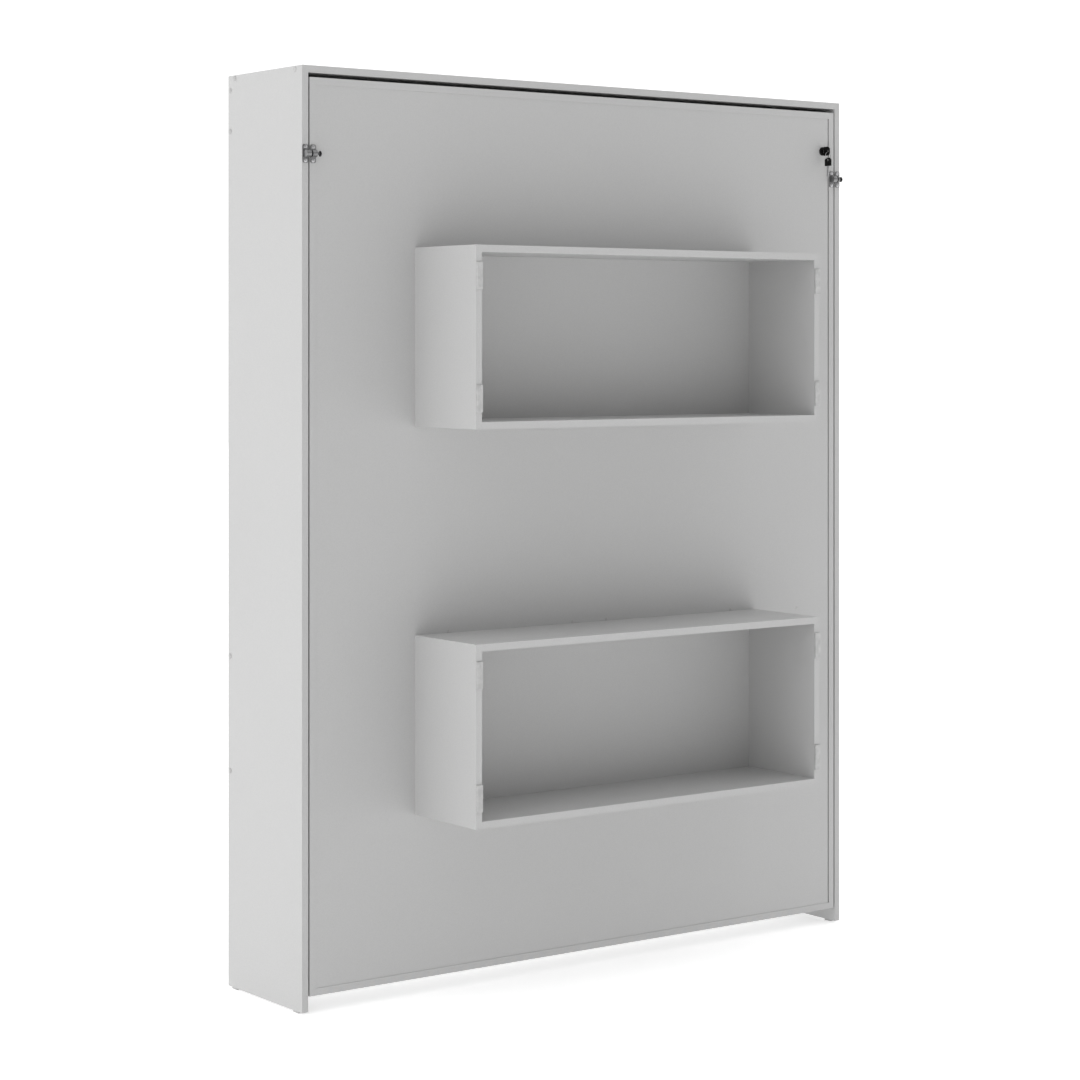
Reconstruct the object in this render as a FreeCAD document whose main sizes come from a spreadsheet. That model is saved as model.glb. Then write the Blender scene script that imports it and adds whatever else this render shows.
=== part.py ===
import FreeCAD, Part
import os
import re
import Sketcher

# Wall bed with two open shelf boxes on its front. The closed bed stands upright in
# a shallow cabinet and folds down about a pivot near its foot end, where the shelf
# boxes become its legs. Millimetres. X runs to the right, Y runs back to the wall
# and Z runs up. The origin is on the floor, under the middle of the closed bed's
# width and of its whole depth, shelf boxes included.

sizes = {
    "cabinet_width": 1610,
    "cabinet_height": 2100,
    "cabinet_depth": 324,
    "board": 16,
    "foot_high": 4,
    "foot_radius": 11,
    "foot_inset": 28,
    "side_gap": 4,
    "top_gap": 10,
    "toe_gap": 38,
    "upper_rail_high": 130,
    "lower_rail_low": 482,
    "lower_rail_high": 300,
    "cabinet_screw_edge": 18,
    "cabinet_screw_inset": 30,
    "screw_radius": 3.5,
    "screw_tip_radius": 2.5,
    "screw_long": 50,
    "screw_slack": 0.1,
    "cap_radius": 6.5,
    "cap_proud": 2.5,
    "wall_hole_radius": 4,
    "wall_hole_spread": 1200,
    "wall_hole_rise": 64,
    "rail_depth": 150,
    "panel_recess": 1,
    "panel_gap": 3,
    "panel_pin_radius": 6,
    "panel_cap_x": 659,
    "panel_cap_z": 813,
    "panel_cap_radius": 3.5,
    "panel_cap_proud": 1.2,
    "ledger_wide": 20,
    "ledger_thick": 20,
    "ledger_break": 20,
    "spine_wide": 40,
    "slat_thick": 10,
    "slat_wide": 68,
    "slat_margin": 36,
    "slat_end_gap": 6,
    "mattress_thick": 150,
    "mattress_side_gap": 24,
    "mattress_end_gap": 6,
    "mattress_round": 25,
    "strap_wide": 50,
    "strap_thick": 2,
    "strap_clear": 0.4,
    "strap_low": 875,
    "strap_pitch": 600,
    "strap_tail_y": 70,
    "buckle_wide": 66,
    "buckle_thick": 5,
    "shelf_wide": 1020,
    "shelf_tall": 408,
    "shelf_depth": 240,
    "shelf_shift": 6,
    "shelf_rise": 441.25,
    "shelf_lift": 1,
    "shelf_pad": 5,
    "pad_tall": 60,
    "pad_edge": 38,
    "shelf_cap_radius": 3,
    "shelf_cap_proud": 1.5,
    "shelf_cap_left": 413,
    "shelf_cap_near": 55,
    "shelf_cap_mid": 47,
    "shelf_cap_right": 438,
    "pivot_inset": 40,
    "pin_radius": 6,
    "pin_end_gap": 1,
    "pin_head_radius": 12,
    "pin_head_thick": 4,
    "bush_radius": 9,
    "bush_wall_left": 3,
    "running_gap": 0.05,
    "washer_radius": 14,
    "washer_thick": 3,
    "strut_inset": 8.5,
    "strut_arm_y": 125,
    "strut_arm_z": 130,
    "strut_top_z": 820,
    "strut_radius": 10,
    "strut_long": 336,
    "strut_start": 14,
    "strut_rod_radius": 4,
    "strut_rod_lap": 45,
    "eye_radius": 10,
    "eye_thick": 5,
    "stud_radius": 4,
    "stud_clear": 1.8,
    "plate_thick": 2.5,
    "plate_half": 22,
    "stop_thick": 18,
    "stop_long": 60,
    "stop_top": 50,
    "stop_deep": 24,
    "stop_clear": 0.3,
    "latch_drop": 170,
    "latch_tall": 41,
    "latch_plate": 1.5,
    "latch_margin": 0.8,
    "latch_hole_rise": 15,
    "latch_hole_radius": 2.2,
    "latch_head_radius": 3.6,
    "latch_head_high": 1.2,
    "latch_screw_long": 16,
    "barrel_radius": 8,
    "barrel_left_long": 12,
    "barrel_right_long": 4.5,
    "keeper_long": 12.5,
    "keeper_over": 0.5,
    "keeper_gap": 0.3,
    "bolt_radius": 2.5,
    "bolt_back": 0.2,
    "bolt_left_travel": 8,
    "bolt_right_travel": 7,
    "knob_radius": 6.5,
    "knob_thick": 2.5,
    "knob_clear": 0.5,
    "lock_edge": 38,
    "lock_drop": 100,
    "rosette_radius": 10.5,
    "rosette_thick": 4,
    "barrel_lock_radius": 9,
    "plug_radius": 6,
    "plug_proud": 1,
    "case_wide": 44,
    "case_tall": 46,
    "case_deep": 14,
    "barrel_slack": 0.1,
    "lock_bolt_tall": 10,
    "lock_bolt_deep": 5,
    "lock_bolt_travel": 13,
    "lock_bolt_tip": 1,
    "lock_bolt_lap": 10,
    "lock_slot_slack": 0.5,
    "strike_thick": 1.5,
    "strike_tall": 40,
    "strike_deep": 16,
    "key_gap": 2,
    "bow_long": 21,
    "bow_wide": 23,
    "bow_thick": 3,
    "bow_corner": 5,
    "bow_hole_radius": 3.5,
    "bow_hole_edge": 6,
    "blade_wide": 8,
    "blade_thick": 2,
    "blade_long": 28,
    "key_depth": 12,
    "ring_radius": 9,
    "ring_wire": 0.8,
    "ring_slack": 0.2,
}

# Places that follow from the sizes above, written as expressions over them.
places = {
    "front_y": "(shelf_depth + shelf_pad - cabinet_depth) / 2",
    "back_y": "(shelf_depth + shelf_pad + cabinet_depth) / 2",
    "shelf_y": "front_y - shelf_depth",
    "side_out": "cabinet_width / 2",
    "side_in": "cabinet_width / 2 - board",
    "rail_out": "side_in - side_gap",
    "rail_in": "rail_out - board",
    "top_under": "cabinet_height - board",
    "bed_low": "toe_gap",
    "bed_high": "top_under - top_gap",
    "bed_mid": "(bed_low + bed_high) / 2",
    "rail_back": "front_y + rail_depth",
    "panel_y": "front_y + panel_recess",
    "panel_back": "panel_y + board",
    "slat_y": "panel_back + ledger_thick",
    "mattress_y": "slat_y + slat_thick",
    "mattress_back": "mattress_y + mattress_thick",
    "mattress_half": "rail_in - mattress_side_gap",
    "pivot_y": "front_y + pivot_inset",
    "pivot_z": "pivot_inset + shelf_depth + shelf_pad",
    "upper_rail_low": "top_under - upper_rail_high",
    "wall_hole_z": "top_under - upper_rail_high / 2",
    "strut_x": "rail_in - strut_inset",
    "strut_y": "pivot_y + strut_arm_y",
    "strut_low_z": "pivot_z - strut_arm_z",
    "latch_z": "bed_high - latch_drop",
    "lock_z": "bed_high - lock_drop",
    "bolt_y": "front_y - latch_plate - knob_radius - knob_clear",
    "lock_x": "side_in - side_gap - lock_edge",
    "case_y": "panel_back",
    "lock_bolt_y": "case_y + case_deep / 2",
    "case_right": "rail_in",
    "bow_y": "panel_y - rosette_thick - plug_proud - key_gap",
    "bow_tip": "bow_y - bow_long",
    "ring_y": "bow_tip + bow_hole_edge",
    "ring_z": "lock_z - bow_hole_radius + ring_wire + ring_slack - ring_radius",
    "spare_top": "ring_z - ring_radius - bow_hole_radius + ring_wire + ring_slack + bow_hole_edge",
}
shelf_levels = {
    "upper": "bed_mid + shelf_lift + shelf_rise",
    "lower": "bed_mid + shelf_lift - shelf_rise",
}
slat_count = 15
axis_turns = {
    "x": FreeCAD.Rotation(FreeCAD.Vector(0, 1, 0), 90),
    "y": FreeCAD.Rotation(FreeCAD.Vector(1, 0, 0), -90),
    "z": FreeCAD.Rotation(),
}

doc = FreeCAD.newDocument("WallBed")
sheet = doc.addObject("Spreadsheet::Sheet", "Sizes")
nodes = []


def fill_sheet():
    for row, (name, value) in enumerate(sizes.items(), start=1):
        sheet.set(f"A{row}", name)
        sheet.set(f"B{row}", str(value))
        sheet.setAlias(f"B{row}", name)
    doc.recompute()


def expand(text):
    """Turn the named places and sizes in a formula into cells of the sheet."""

    def swap(match):
        word = match.group(0)
        if word in places:
            return "(" + expand(places[word]) + ")"
        return "Sizes." + word

    return re.sub(r"[a-z][a-z_]*[a-z]", swap, text)


def bind(item, **formulas):
    for prop, text in formulas.items():
        item.setExpression(prop, expand(text))


def put(item, x, y, z):
    for axis, text in zip("xyz", (x, y, z)):
        item.setExpression("Placement.Base." + axis, expand(text))


def box(name, x, y, z):
    """A box between two formulas along each axis."""
    item = doc.addObject("Part::Box", name)
    bind(
        item,
        Length=f"({x[1]}) - ({x[0]})",
        Width=f"({y[1]}) - ({y[0]})",
        Height=f"({z[1]}) - ({z[0]})",
    )
    put(item, x[0], y[0], z[0])
    return item


def rod(name, axis, start, radius, length):
    """A cylinder that runs from start in the positive direction of its axis."""
    item = doc.addObject("Part::Cylinder", name)
    item.Placement = FreeCAD.Placement(FreeCAD.Vector(), axis_turns[axis])
    bind(item, Radius=radius, Height=length)
    put(item, *start)
    return item


def gather(name, items):
    item = doc.addObject("Part::Compound", name)
    item.Links = items
    return item


def cut(name, base, tools):
    item = doc.addObject("Part::Cut", name)
    item.Base = base
    item.Tool = gather(name + "_cutters", tools)
    return item


def fuse(name, items):
    item = doc.addObject("Part::MultiFuse", name)
    item.Shapes = items
    return item


def keep(item, name):
    item.Label = name
    if item.Label != name:
        raise RuntimeError(name + " is already another object's label")
    nodes.append(item)


def span(side, near, far):
    """The stretch from near to far on the right, or its mirror image on the left."""
    if side == "right":
        return (near, far)
    return (f"-({far})", f"-({near})")


def side_x(side, x):
    return x if side == "right" else f"-({x})"


# Cabinet ---------------------------------------------------------------------


def cabinet_screw_places():
    """Y and Z of the screws that hold the top board and the two back rails."""
    edge_y = "back_y - board / 2"
    return [
        ("front_y + cabinet_screw_inset", "cabinet_height - board / 2"),
        ("back_y - cabinet_screw_inset", "cabinet_height - board / 2"),
        (edge_y, "top_under - cabinet_screw_edge"),
        (edge_y, "upper_rail_low + cabinet_screw_edge"),
        (edge_y, "lower_rail_low + lower_rail_high - cabinet_screw_edge"),
        (edge_y, "lower_rail_low + cabinet_screw_edge"),
    ]


def make_screw(name, side, y, z, slack):
    """A connecting screw along X: a stout neck in the side and a slimmer tip beyond."""
    neck_x = span(side, "side_in", "side_out")[0]
    tip_x = span(side, "side_out - screw_long", "side_in")[0]
    neck = rod(name + "_neck", "x", (neck_x, y, z), f"screw_radius + {slack}", "board")
    tip = rod(
        name + "_tip",
        "x",
        (tip_x, y, z),
        f"screw_tip_radius + {slack}",
        "screw_long - board",
    )
    return neck, tip


def make_side_panel(side):
    panel = box(
        f"side_board_{side}",
        span(side, "side_in", "side_out"),
        ("front_y", "back_y"),
        ("foot_high", "cabinet_height"),
    )
    cutters = [
        rod(
            f"bush_seat_{side}",
            "x",
            (span(side, "side_in", "side_out - bush_wall_left")[0], "pivot_y", "pivot_z"),
            "bush_radius",
            "board - bush_wall_left",
        )
    ]
    for number, (y, z) in enumerate(cabinet_screw_places()):
        x = span(side, "side_in", "side_out")[0]
        name = f"side_hole_{side}_{number}"
        cutters.append(rod(name, "x", (x, y, z), "screw_radius + screw_slack", "board"))
    cutters += latch_screw_holes(side, "side")
    if side == "right":
        cutters.append(lock_slot("side_mortise", "side_in", "side_in + lock_bolt_travel"))
    keep(cut(f"side_panel_{side}", panel, cutters), f"side_panel_{side}")


def make_cross_board(name, y, z, screw_numbers):
    board = box(name + "_board", ("-(side_in)", "side_in"), y, z)
    cutters = []
    places_used = cabinet_screw_places()
    for side in ("left", "right"):
        for number in screw_numbers:
            screw_y, screw_z = places_used[number]
            x = span(side, "side_out - screw_long", "side_in")[0]
            hole = f"{name}_hole_{side}_{number}"
            cutters.append(
                rod(
                    hole,
                    "x",
                    (x, screw_y, screw_z),
                    "screw_tip_radius + screw_slack",
                    "screw_long - board",
                )
            )
    return board, cutters


def make_cross_boards():
    top, top_holes = make_cross_board(
        "top_panel", ("front_y", "back_y"), ("top_under", "cabinet_height"), (0, 1)
    )
    keep(cut("top_panel", top, top_holes), "top_panel")
    upper, upper_holes = make_cross_board(
        "back_rail_upper", ("back_y - board", "back_y"), ("upper_rail_low", "top_under"), (2, 3)
    )
    upper_holes += wall_holes("upper", "wall_hole_z", ("-wall_hole_rise / 2", "wall_hole_rise / 2"))
    keep(cut("back_rail_upper", upper, upper_holes), "back_rail_upper")
    lower, lower_holes = make_cross_board(
        "back_rail_lower",
        ("back_y - board", "back_y"),
        ("lower_rail_low", "lower_rail_low + lower_rail_high"),
        (4, 5),
    )
    lower_holes += wall_holes("lower", "lower_rail_low + lower_rail_high / 2", ("0 * board",))
    keep(cut("back_rail_lower", lower, lower_holes), "back_rail_lower")


def wall_holes(name, z, rises):
    holes = []
    for side in ("left", "right"):
        for number, rise in enumerate(rises):
            start = (side_x(side, "wall_hole_spread / 2"), "back_y - board", f"{z} + {rise}")
            hole = f"wall_hole_{name}_{side}_{number}"
            holes.append(rod(hole, "y", start, "wall_hole_radius", "board"))
    return holes


def make_cabinet_fixings():
    screws = []
    caps = []
    for side in ("left", "right"):
        for number, (y, z) in enumerate(cabinet_screw_places()):
            neck, tip = make_screw(f"screw_{side}_{number}", side, y, z, "0 * screw_slack")
            screws.append(fuse(f"screw_{side}_{number}", [neck, tip]))
            cap_x = span(side, "side_out", "side_out + cap_proud")[0]
            caps.append(rod(f"cap_{side}_{number}", "x", (cap_x, y, z), "cap_radius", "cap_proud"))
    keep(gather("cabinet_screws", screws), "cabinet_screws")
    keep(gather("screw_caps", caps), "screw_caps")


def make_feet():
    feet = []
    for side in ("left", "right"):
        for end, y in (("front", "front_y + foot_inset"), ("rear", "back_y - foot_inset")):
            x = side_x(side, "side_out - board / 2")
            foot = doc.addObject("Part::Cone", f"foot_{side}_{end}")
            bind(foot, Radius1="foot_radius - 2", Radius2="foot_radius", Height="foot_high")
            put(foot, x, y, "0 * board")
            slim = box(
                f"foot_trim_{side}_{end}",
                span(side, "side_in", "side_out"),
                (f"{y} - 2 * foot_radius", f"{y} + 2 * foot_radius"),
                ("0 * board", "foot_high"),
            )
            trimmed = doc.addObject("Part::Common", f"foot_trimmed_{side}_{end}")
            trimmed.Base = foot
            trimmed.Tool = slim
            feet.append(trimmed)
    keep(gather("glide_feet", feet), "glide_feet")


def make_stop(side):
    return box(
        f"stop_block_{side}",
        span(side, "side_in - stop_thick", "side_in"),
        ("rail_back + stop_clear", "rail_back + stop_clear + stop_deep"),
        ("bed_high - stop_top - stop_long", "bed_high - stop_top"),
    )


# Pivot -----------------------------------------------------------------------


def make_pivot(side):
    """A shouldered pin fixed in the bed rail turns in a bush pressed into the side panel."""
    centre = ("pivot_y", "pivot_z")
    bush_span = span(side, "side_in", "side_out - bush_wall_left")
    bush_long = "board - bush_wall_left"
    outer = rod(f"bush_outer_{side}", "x", (bush_span[0], *centre), "bush_radius", bush_long)
    bore = rod(
        f"bush_bore_{side}",
        "x",
        (bush_span[0], *centre),
        "pin_radius + running_gap",
        bush_long,
    )
    bush = cut(f"pivot_bush_{side}", outer, [bore])
    head_x = span(side, "rail_in - pin_head_thick", "rail_in")[0]
    head = rod(f"pin_head_{side}", "x", (head_x, *centre), "pin_head_radius", "pin_head_thick")
    shank_span = span(side, "rail_in", "side_out - bush_wall_left - pin_end_gap")
    shank = rod(
        f"pin_shank_{side}",
        "x",
        (shank_span[0], *centre),
        "pin_radius",
        "side_out - bush_wall_left - pin_end_gap - (rail_in)",
    )
    pin = fuse(f"pivot_pin_{side}", [head, shank])
    gap = "(side_gap - washer_thick) / 2"
    washer_x = span(side, f"rail_out + {gap}", f"side_in - {gap}")[0]
    disc = rod(f"washer_disc_{side}", "x", (washer_x, *centre), "washer_radius", "washer_thick")
    eye = rod(
        f"washer_eye_{side}", "x", (washer_x, *centre), "pin_radius + running_gap", "washer_thick"
    )
    washer = cut(f"pivot_washer_{side}", disc, [eye])
    return bush, pin, washer


# Gas struts ------------------------------------------------------------------


def make_strut_stud(side):
    """A plate on the side panel with the stud that carries the strut's cylinder."""
    plate = box(
        f"stud_plate_{side}",
        span(side, "side_in - plate_thick", "side_in"),
        ("strut_y - plate_half", "strut_y + plate_half"),
        ("strut_top_z - plate_half", "strut_top_z + plate_half"),
    )
    stud_span = span(side, "strut_x - eye_thick", "side_in - plate_thick")
    stud = rod(
        f"stud_pin_{side}",
        "x",
        (stud_span[0], "strut_y", "strut_top_z"),
        "stud_radius",
        "side_in - plate_thick - (strut_x) + eye_thick",
    )
    return fuse(f"strut_stud_{side}", [plate, stud])


def make_strut_bracket(side):
    """A plate on the rail's inner face whose stub faces the rod's eye with a gap."""
    plate = box(
        f"bracket_plate_{side}",
        span(side, "rail_in - plate_thick", "rail_in"),
        ("strut_y - 3 * plate_half", "strut_y + plate_half / 2"),
        ("strut_low_z - plate_half / 2", "strut_low_z + plate_half / 2"),
    )
    stub_span = span(side, "strut_x + eye_thick / 2 + stud_clear", "rail_in - plate_thick")
    stub = rod(
        f"bracket_stub_{side}",
        "x",
        (stub_span[0], "strut_y", "strut_low_z"),
        "stud_radius",
        "rail_in - plate_thick - (strut_x) - eye_thick / 2 - stud_clear",
    )
    return fuse(f"strut_bracket_{side}", [plate, stub])


def make_pairs():
    """Fittings that are the same on both sides, with each kind kept as one node."""
    sides = ("left", "right")
    bushes, pins, washers = zip(*[make_pivot(side) for side in sides])
    keep(gather("pivot_bushes", list(bushes)), "pivot_bushes")
    keep(gather("pivot_pins", list(pins)), "pivot_pins")
    keep(gather("pivot_washers", list(washers)), "pivot_washers")
    keep(gather("stop_blocks", [make_stop(side) for side in sides]), "stop_blocks")
    keep(gather("strut_studs", [make_strut_stud(side) for side in sides]), "strut_studs")
    keep(gather("strut_brackets", [make_strut_bracket(side) for side in sides]), "strut_brackets")


def make_strut(side):
    x = side_x(side, "strut_x")
    eye_x = span(side, "strut_x - eye_thick / 2", "strut_x + eye_thick / 2")[0]
    tube_low = "strut_top_z - strut_start - strut_long"
    tube = rod(f"tube_{side}", "z", (x, "strut_y", tube_low), "strut_radius", "strut_long")
    top_eye = rod(
        f"top_eye_{side}", "x", (eye_x, "strut_y", "strut_top_z"), "eye_radius", "eye_thick"
    )
    shank = rod(
        f"tube_shank_{side}",
        "z",
        (x, "strut_y", "strut_top_z - strut_start"),
        "eye_thick / 2",
        "strut_start / 2",
    )
    body = fuse(f"tube_body_{side}", [tube, top_eye, shank])
    bore = rod(
        f"tube_bore_{side}",
        "z",
        (x, "strut_y", tube_low),
        "strut_rod_radius + running_gap",
        "strut_long - strut_start",
    )
    hole = rod(
        f"top_eye_hole_{side}",
        "x",
        (eye_x, "strut_y", "strut_top_z"),
        "stud_radius + running_gap",
        "eye_thick",
    )
    keep(cut(f"strut_cylinder_{side}", body, [bore, hole]), f"strut_cylinder_{side}")
    low_eye = rod(
        f"low_eye_{side}", "x", (eye_x, "strut_y", "strut_low_z"), "eye_radius", "eye_thick"
    )
    low_hole = rod(
        f"low_eye_hole_{side}", "x", (eye_x, "strut_y", "strut_low_z"), "stud_radius", "eye_thick"
    )
    bar = rod(
        f"rod_bar_{side}",
        "z",
        (x, "strut_y", "strut_low_z + (eye_radius + stud_radius) / 2"),
        "strut_rod_radius",
        f"{tube_low} + strut_rod_lap - (strut_low_z) - (eye_radius + stud_radius) / 2",
    )
    rod_body = fuse(f"rod_body_{side}", [low_eye, bar])
    keep(cut(f"strut_rod_{side}", rod_body, [low_hole]), f"strut_rod_{side}")


# Bed frame -------------------------------------------------------------------


def make_bed_rail(side):
    """A side rail, bored for its pivot pin and, on the right, slotted for the lock bolt."""
    rail = box(
        f"rail_board_{side}",
        span(side, "rail_in", "rail_out"),
        ("front_y", "rail_back"),
        ("bed_low + board", "bed_high"),
    )
    x = span(side, "rail_in", "rail_out")[0]
    cutters = [rod(f"pin_hole_{side}", "x", (x, "pivot_y", "pivot_z"), "pin_radius", "board")]
    cutters += latch_screw_holes(side, "rail")
    if side == "right":
        cutters.append(lock_slot("rail_slot", "rail_in", "rail_out"))
    keep(cut(f"bed_rail_{side}", rail, cutters), f"bed_rail_{side}")


def make_bed_ends():
    head = box(
        "bed_rail_head",
        ("-(rail_in)", "rail_in"),
        ("front_y", "rail_back"),
        ("bed_high - board", "bed_high"),
    )
    keep(head, "bed_rail_head")
    foot = box(
        "bed_rail_foot",
        ("-(rail_out)", "rail_out"),
        ("front_y", "rail_back"),
        ("bed_low", "bed_low + board"),
    )
    keep(foot, "bed_rail_foot")


def make_front_panel():
    panel = box(
        "front_board",
        ("-(rail_in)", "rail_in - panel_gap"),
        ("panel_y", "panel_back"),
        ("bed_low + board", "bed_high - board"),
    )
    hole = rod(
        "lock_hole", "y", ("lock_x", "panel_y", "lock_z"), "barrel_lock_radius", "board"
    )
    keep(cut("front_panel", panel, [hole]), "front_panel")
    cap = rod(
        "panel_cap",
        "y",
        ("panel_cap_x", "panel_y - panel_cap_proud", "panel_cap_z"),
        "panel_cap_radius",
        "panel_cap_proud",
    )
    keep(cap, "panel_cap")
    pins = []
    for quarter in (1, 2, 3):
        z = f"bed_low + (bed_high - (bed_low)) * {quarter} / 4"
        start = ("rail_in - panel_gap", "panel_y + board / 2", z)
        pins.append(rod(f"pin_{quarter}", "x", start, "panel_pin_radius", "panel_gap"))
    keep(gather("panel_pins", pins), "panel_pins")


def make_slat_base():
    """Ledgers along both rails and a spine down the middle carry the cross slats."""
    depth = ("panel_back", "slat_y")
    ledger_top = {"left": "bed_high - board", "right": "lock_z - case_tall / 2"}
    parts = []
    for side in ("left", "right"):
        x = span(side, "rail_in - ledger_wide", "rail_in")
        below = ("bed_low + board", "pivot_z - ledger_break")
        above = ("pivot_z + ledger_break", ledger_top[side])
        parts.append(box(f"ledger_{side}_short", x, depth, below))
        parts.append(box(f"ledger_{side}_long", x, depth, above))
    keep(gather("slat_ledgers", parts), "slat_ledgers")
    spine = box(
        "slat_spine",
        ("-spine_wide / 2", "spine_wide / 2"),
        depth,
        ("bed_low + board", "bed_high - board"),
    )
    keep(spine, "slat_spine")
    slats = []
    first = "bed_low + board + slat_margin"
    pitch = f"(bed_high - (bed_low) - 2 * board - 2 * slat_margin - slat_wide) / {slat_count - 1}"
    for number in range(slat_count):
        low = f"{first} + {number} * {pitch}"
        slats.append(
            box(
                f"slat_{number}",
                ("slat_end_gap - (rail_in)", "rail_in - slat_end_gap"),
                ("slat_y", "mattress_y"),
                (low, f"{low} + slat_wide"),
            )
        )
    keep(gather("slats", slats), "slats")


def make_mattress():
    block = box(
        "mattress_block",
        ("-(mattress_half)", "mattress_half"),
        ("mattress_y + strap_clear", "mattress_back"),
        ("bed_low + board + mattress_end_gap", "bed_high - board - mattress_end_gap"),
    )
    doc.recompute()
    mattress = doc.addObject("Part::Fillet", "mattress")
    mattress.Base = block
    radius = sizes["mattress_round"]
    mattress.Edges = [(number, radius, radius) for number in range(1, 13)]
    keep(mattress, "mattress")


def make_strap(name, low):
    """Webbing over the mattress and down both its sides, with a flat buckle on top."""
    z = (low, f"{low} + strap_wide")
    top = ("mattress_back + strap_clear", "mattress_back + strap_clear + strap_thick")
    near = "mattress_half + strap_clear"
    far = f"{near} + strap_thick"
    parts = [box(name + "_top", (f"-({far})", far), top, z)]
    for side in ("left", "right"):
        tail = ("front_y + strap_tail_y", top[1])
        parts.append(box(f"{name}_tail_{side}", span(side, near, far), tail, z))
    strap = fuse(name, parts)
    middle = f"{low} + strap_wide / 2"
    frame = box(
        name + "_buckle_frame",
        ("-buckle_wide / 2", "buckle_wide / 2"),
        (f"{top[1]} + 0 * board", f"{top[1]} + buckle_thick"),
        (f"{middle} - buckle_wide / 2", f"{middle} + buckle_wide / 2"),
    )
    slots = []
    for mark in ("-", "+"):
        centre = f"{mark} buckle_wide / 4"
        slots.append(
            box(
                f"{name}_buckle_slot_{'low' if mark == '-' else 'high'}",
                (f"{centre} - buckle_wide / 12", f"{centre} + buckle_wide / 12"),
                (f"{top[1]} + 0 * board", f"{top[1]} + buckle_thick"),
                (f"{middle} - strap_wide / 2", f"{middle} + strap_wide / 2"),
            )
        )
    return strap, cut(name + "_buckle", frame, slots)


def make_straps():
    straps, buckles = zip(
        make_strap("strap_lower", "strap_low"),
        make_strap("strap_upper", "strap_low + strap_pitch"),
    )
    keep(gather("mattress_straps", list(straps)), "mattress_straps")
    keep(gather("strap_buckles", list(buckles)), "strap_buckles")


# Shelf boxes -----------------------------------------------------------------


def make_shelf_box(level):
    middle = shelf_levels[level]
    left = "shelf_shift - shelf_wide / 2"
    right = "shelf_shift + shelf_wide / 2"
    low = f"{middle} - shelf_tall / 2"
    high = f"{middle} + shelf_tall / 2"
    depth = ("shelf_y", "panel_y")
    boards = {
        "left": ((left, f"{left} + board"), (low, high)),
        "right": ((f"{right} - board", right), (low, high)),
        "top": ((f"{left} + board", f"{right} - board"), (f"{high} - board", high)),
        "bottom": ((f"{left} + board", f"{right} - board"), (low, f"{low} + board")),
    }
    for part, (x, z) in boards.items():
        name = f"{level}_shelf_{part}"
        keep(box(name, x, depth, z), name)
    pads = []
    for side in ("left", "right"):
        x = boards[side][0]
        for end, pad_low in (
            ("low", f"{low} + pad_edge"),
            ("high", f"{high} - pad_edge - pad_tall"),
        ):
            pads.append(
                box(
                    f"pad_{level}_{side}_{end}",
                    x,
                    ("shelf_y - shelf_pad", "shelf_y"),
                    (pad_low, f"{pad_low} + pad_tall"),
                )
            )
    caps = []
    rows = ("-shelf_cap_left", "-shelf_cap_near", "shelf_cap_mid", "shelf_cap_right")
    for number, x in enumerate(rows):
        start = (x, "panel_y - shelf_cap_proud", f"{high} + shelf_cap_radius")
        name = f"shelf_cap_{level}_{number}"
        caps.append(rod(name, "y", start, "shelf_cap_radius", "shelf_cap_proud"))
    return pads, caps


def make_shelves():
    upper_pads, upper_caps = make_shelf_box("upper")
    lower_pads, lower_caps = make_shelf_box("lower")
    keep(gather("shelf_pads", upper_pads + lower_pads), "shelf_pads")
    keep(gather("shelf_caps", upper_caps + lower_caps), "shelf_caps")


# Slide-bolt latches ----------------------------------------------------------


def latch_edge(side, piece):
    """The board edge that carries a latch plate: the side panel's or the bed rail's."""
    if piece == "side":
        return span(side, "side_in + latch_margin", "side_out - latch_margin")
    return span(side, "rail_in + latch_margin", "rail_out - latch_margin")


def latch_screw_starts(side, piece, start_y):
    near, far = latch_edge(side, piece)
    x = f"(({near}) + ({far})) / 2"
    return [
        (x, start_y, "latch_z - latch_hole_rise"),
        (x, start_y, "latch_z + latch_hole_rise"),
    ]


def latch_screw_holes(side, piece):
    holes = []
    for number, start in enumerate(latch_screw_starts(side, piece, "front_y")):
        name = f"latch_hole_{side}_{piece}_{number}"
        holes.append(rod(name, "y", start, "latch_hole_radius", "latch_screw_long"))
    return holes


def make_latch_part(name, side, piece, barrel, gap="running_gap"):
    """A screw plate on a board edge with the tube that the bolt runs in."""
    x = latch_edge(side, piece)
    y = ("front_y - latch_plate", "front_y")
    z = ("latch_z - latch_tall / 2", "latch_z + latch_tall / 2")
    plate = box(name + "_plate", x, y, z)
    length = f"({barrel[1]}) - ({barrel[0]})"
    tube = rod(name + "_tube", "x", (barrel[0], "bolt_y", "latch_z"), "barrel_radius", length)
    web = box(
        name + "_web",
        barrel,
        ("bolt_y", "front_y - latch_plate"),
        ("latch_z - barrel_radius", "latch_z + barrel_radius"),
    )
    bore = rod(
        name + "_bore",
        "x",
        (barrel[0], "bolt_y", "latch_z"),
        "bolt_radius + " + gap,
        length,
    )
    holes = [bore]
    for number, start in enumerate(latch_screw_starts(side, piece, "front_y - latch_plate")):
        holes.append(rod(f"{name}_hole_{number}", "y", start, "latch_hole_radius", "latch_plate"))
    keep(cut(name, fuse(name + "_solid", [plate, tube, web]), holes), name)


def make_latch_bolt(side, barrel):
    """The bolt and its end knob. It slides to the left, out of its barrel, into the keeper."""
    tip = f"{barrel[0]} + bolt_back"
    knob = f"{barrel[1]} + bolt_{side}_travel + knob_clear"
    pieces = [
        rod(f"bolt_{side}", "x", (tip, "bolt_y", "latch_z"), "bolt_radius", f"{knob} - ({tip})"),
        rod(f"knob_{side}", "x", (knob, "bolt_y", "latch_z"), "knob_radius", "knob_thick"),
    ]
    keep(fuse(f"latch_bolt_{side}", pieces), f"latch_bolt_{side}")


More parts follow.
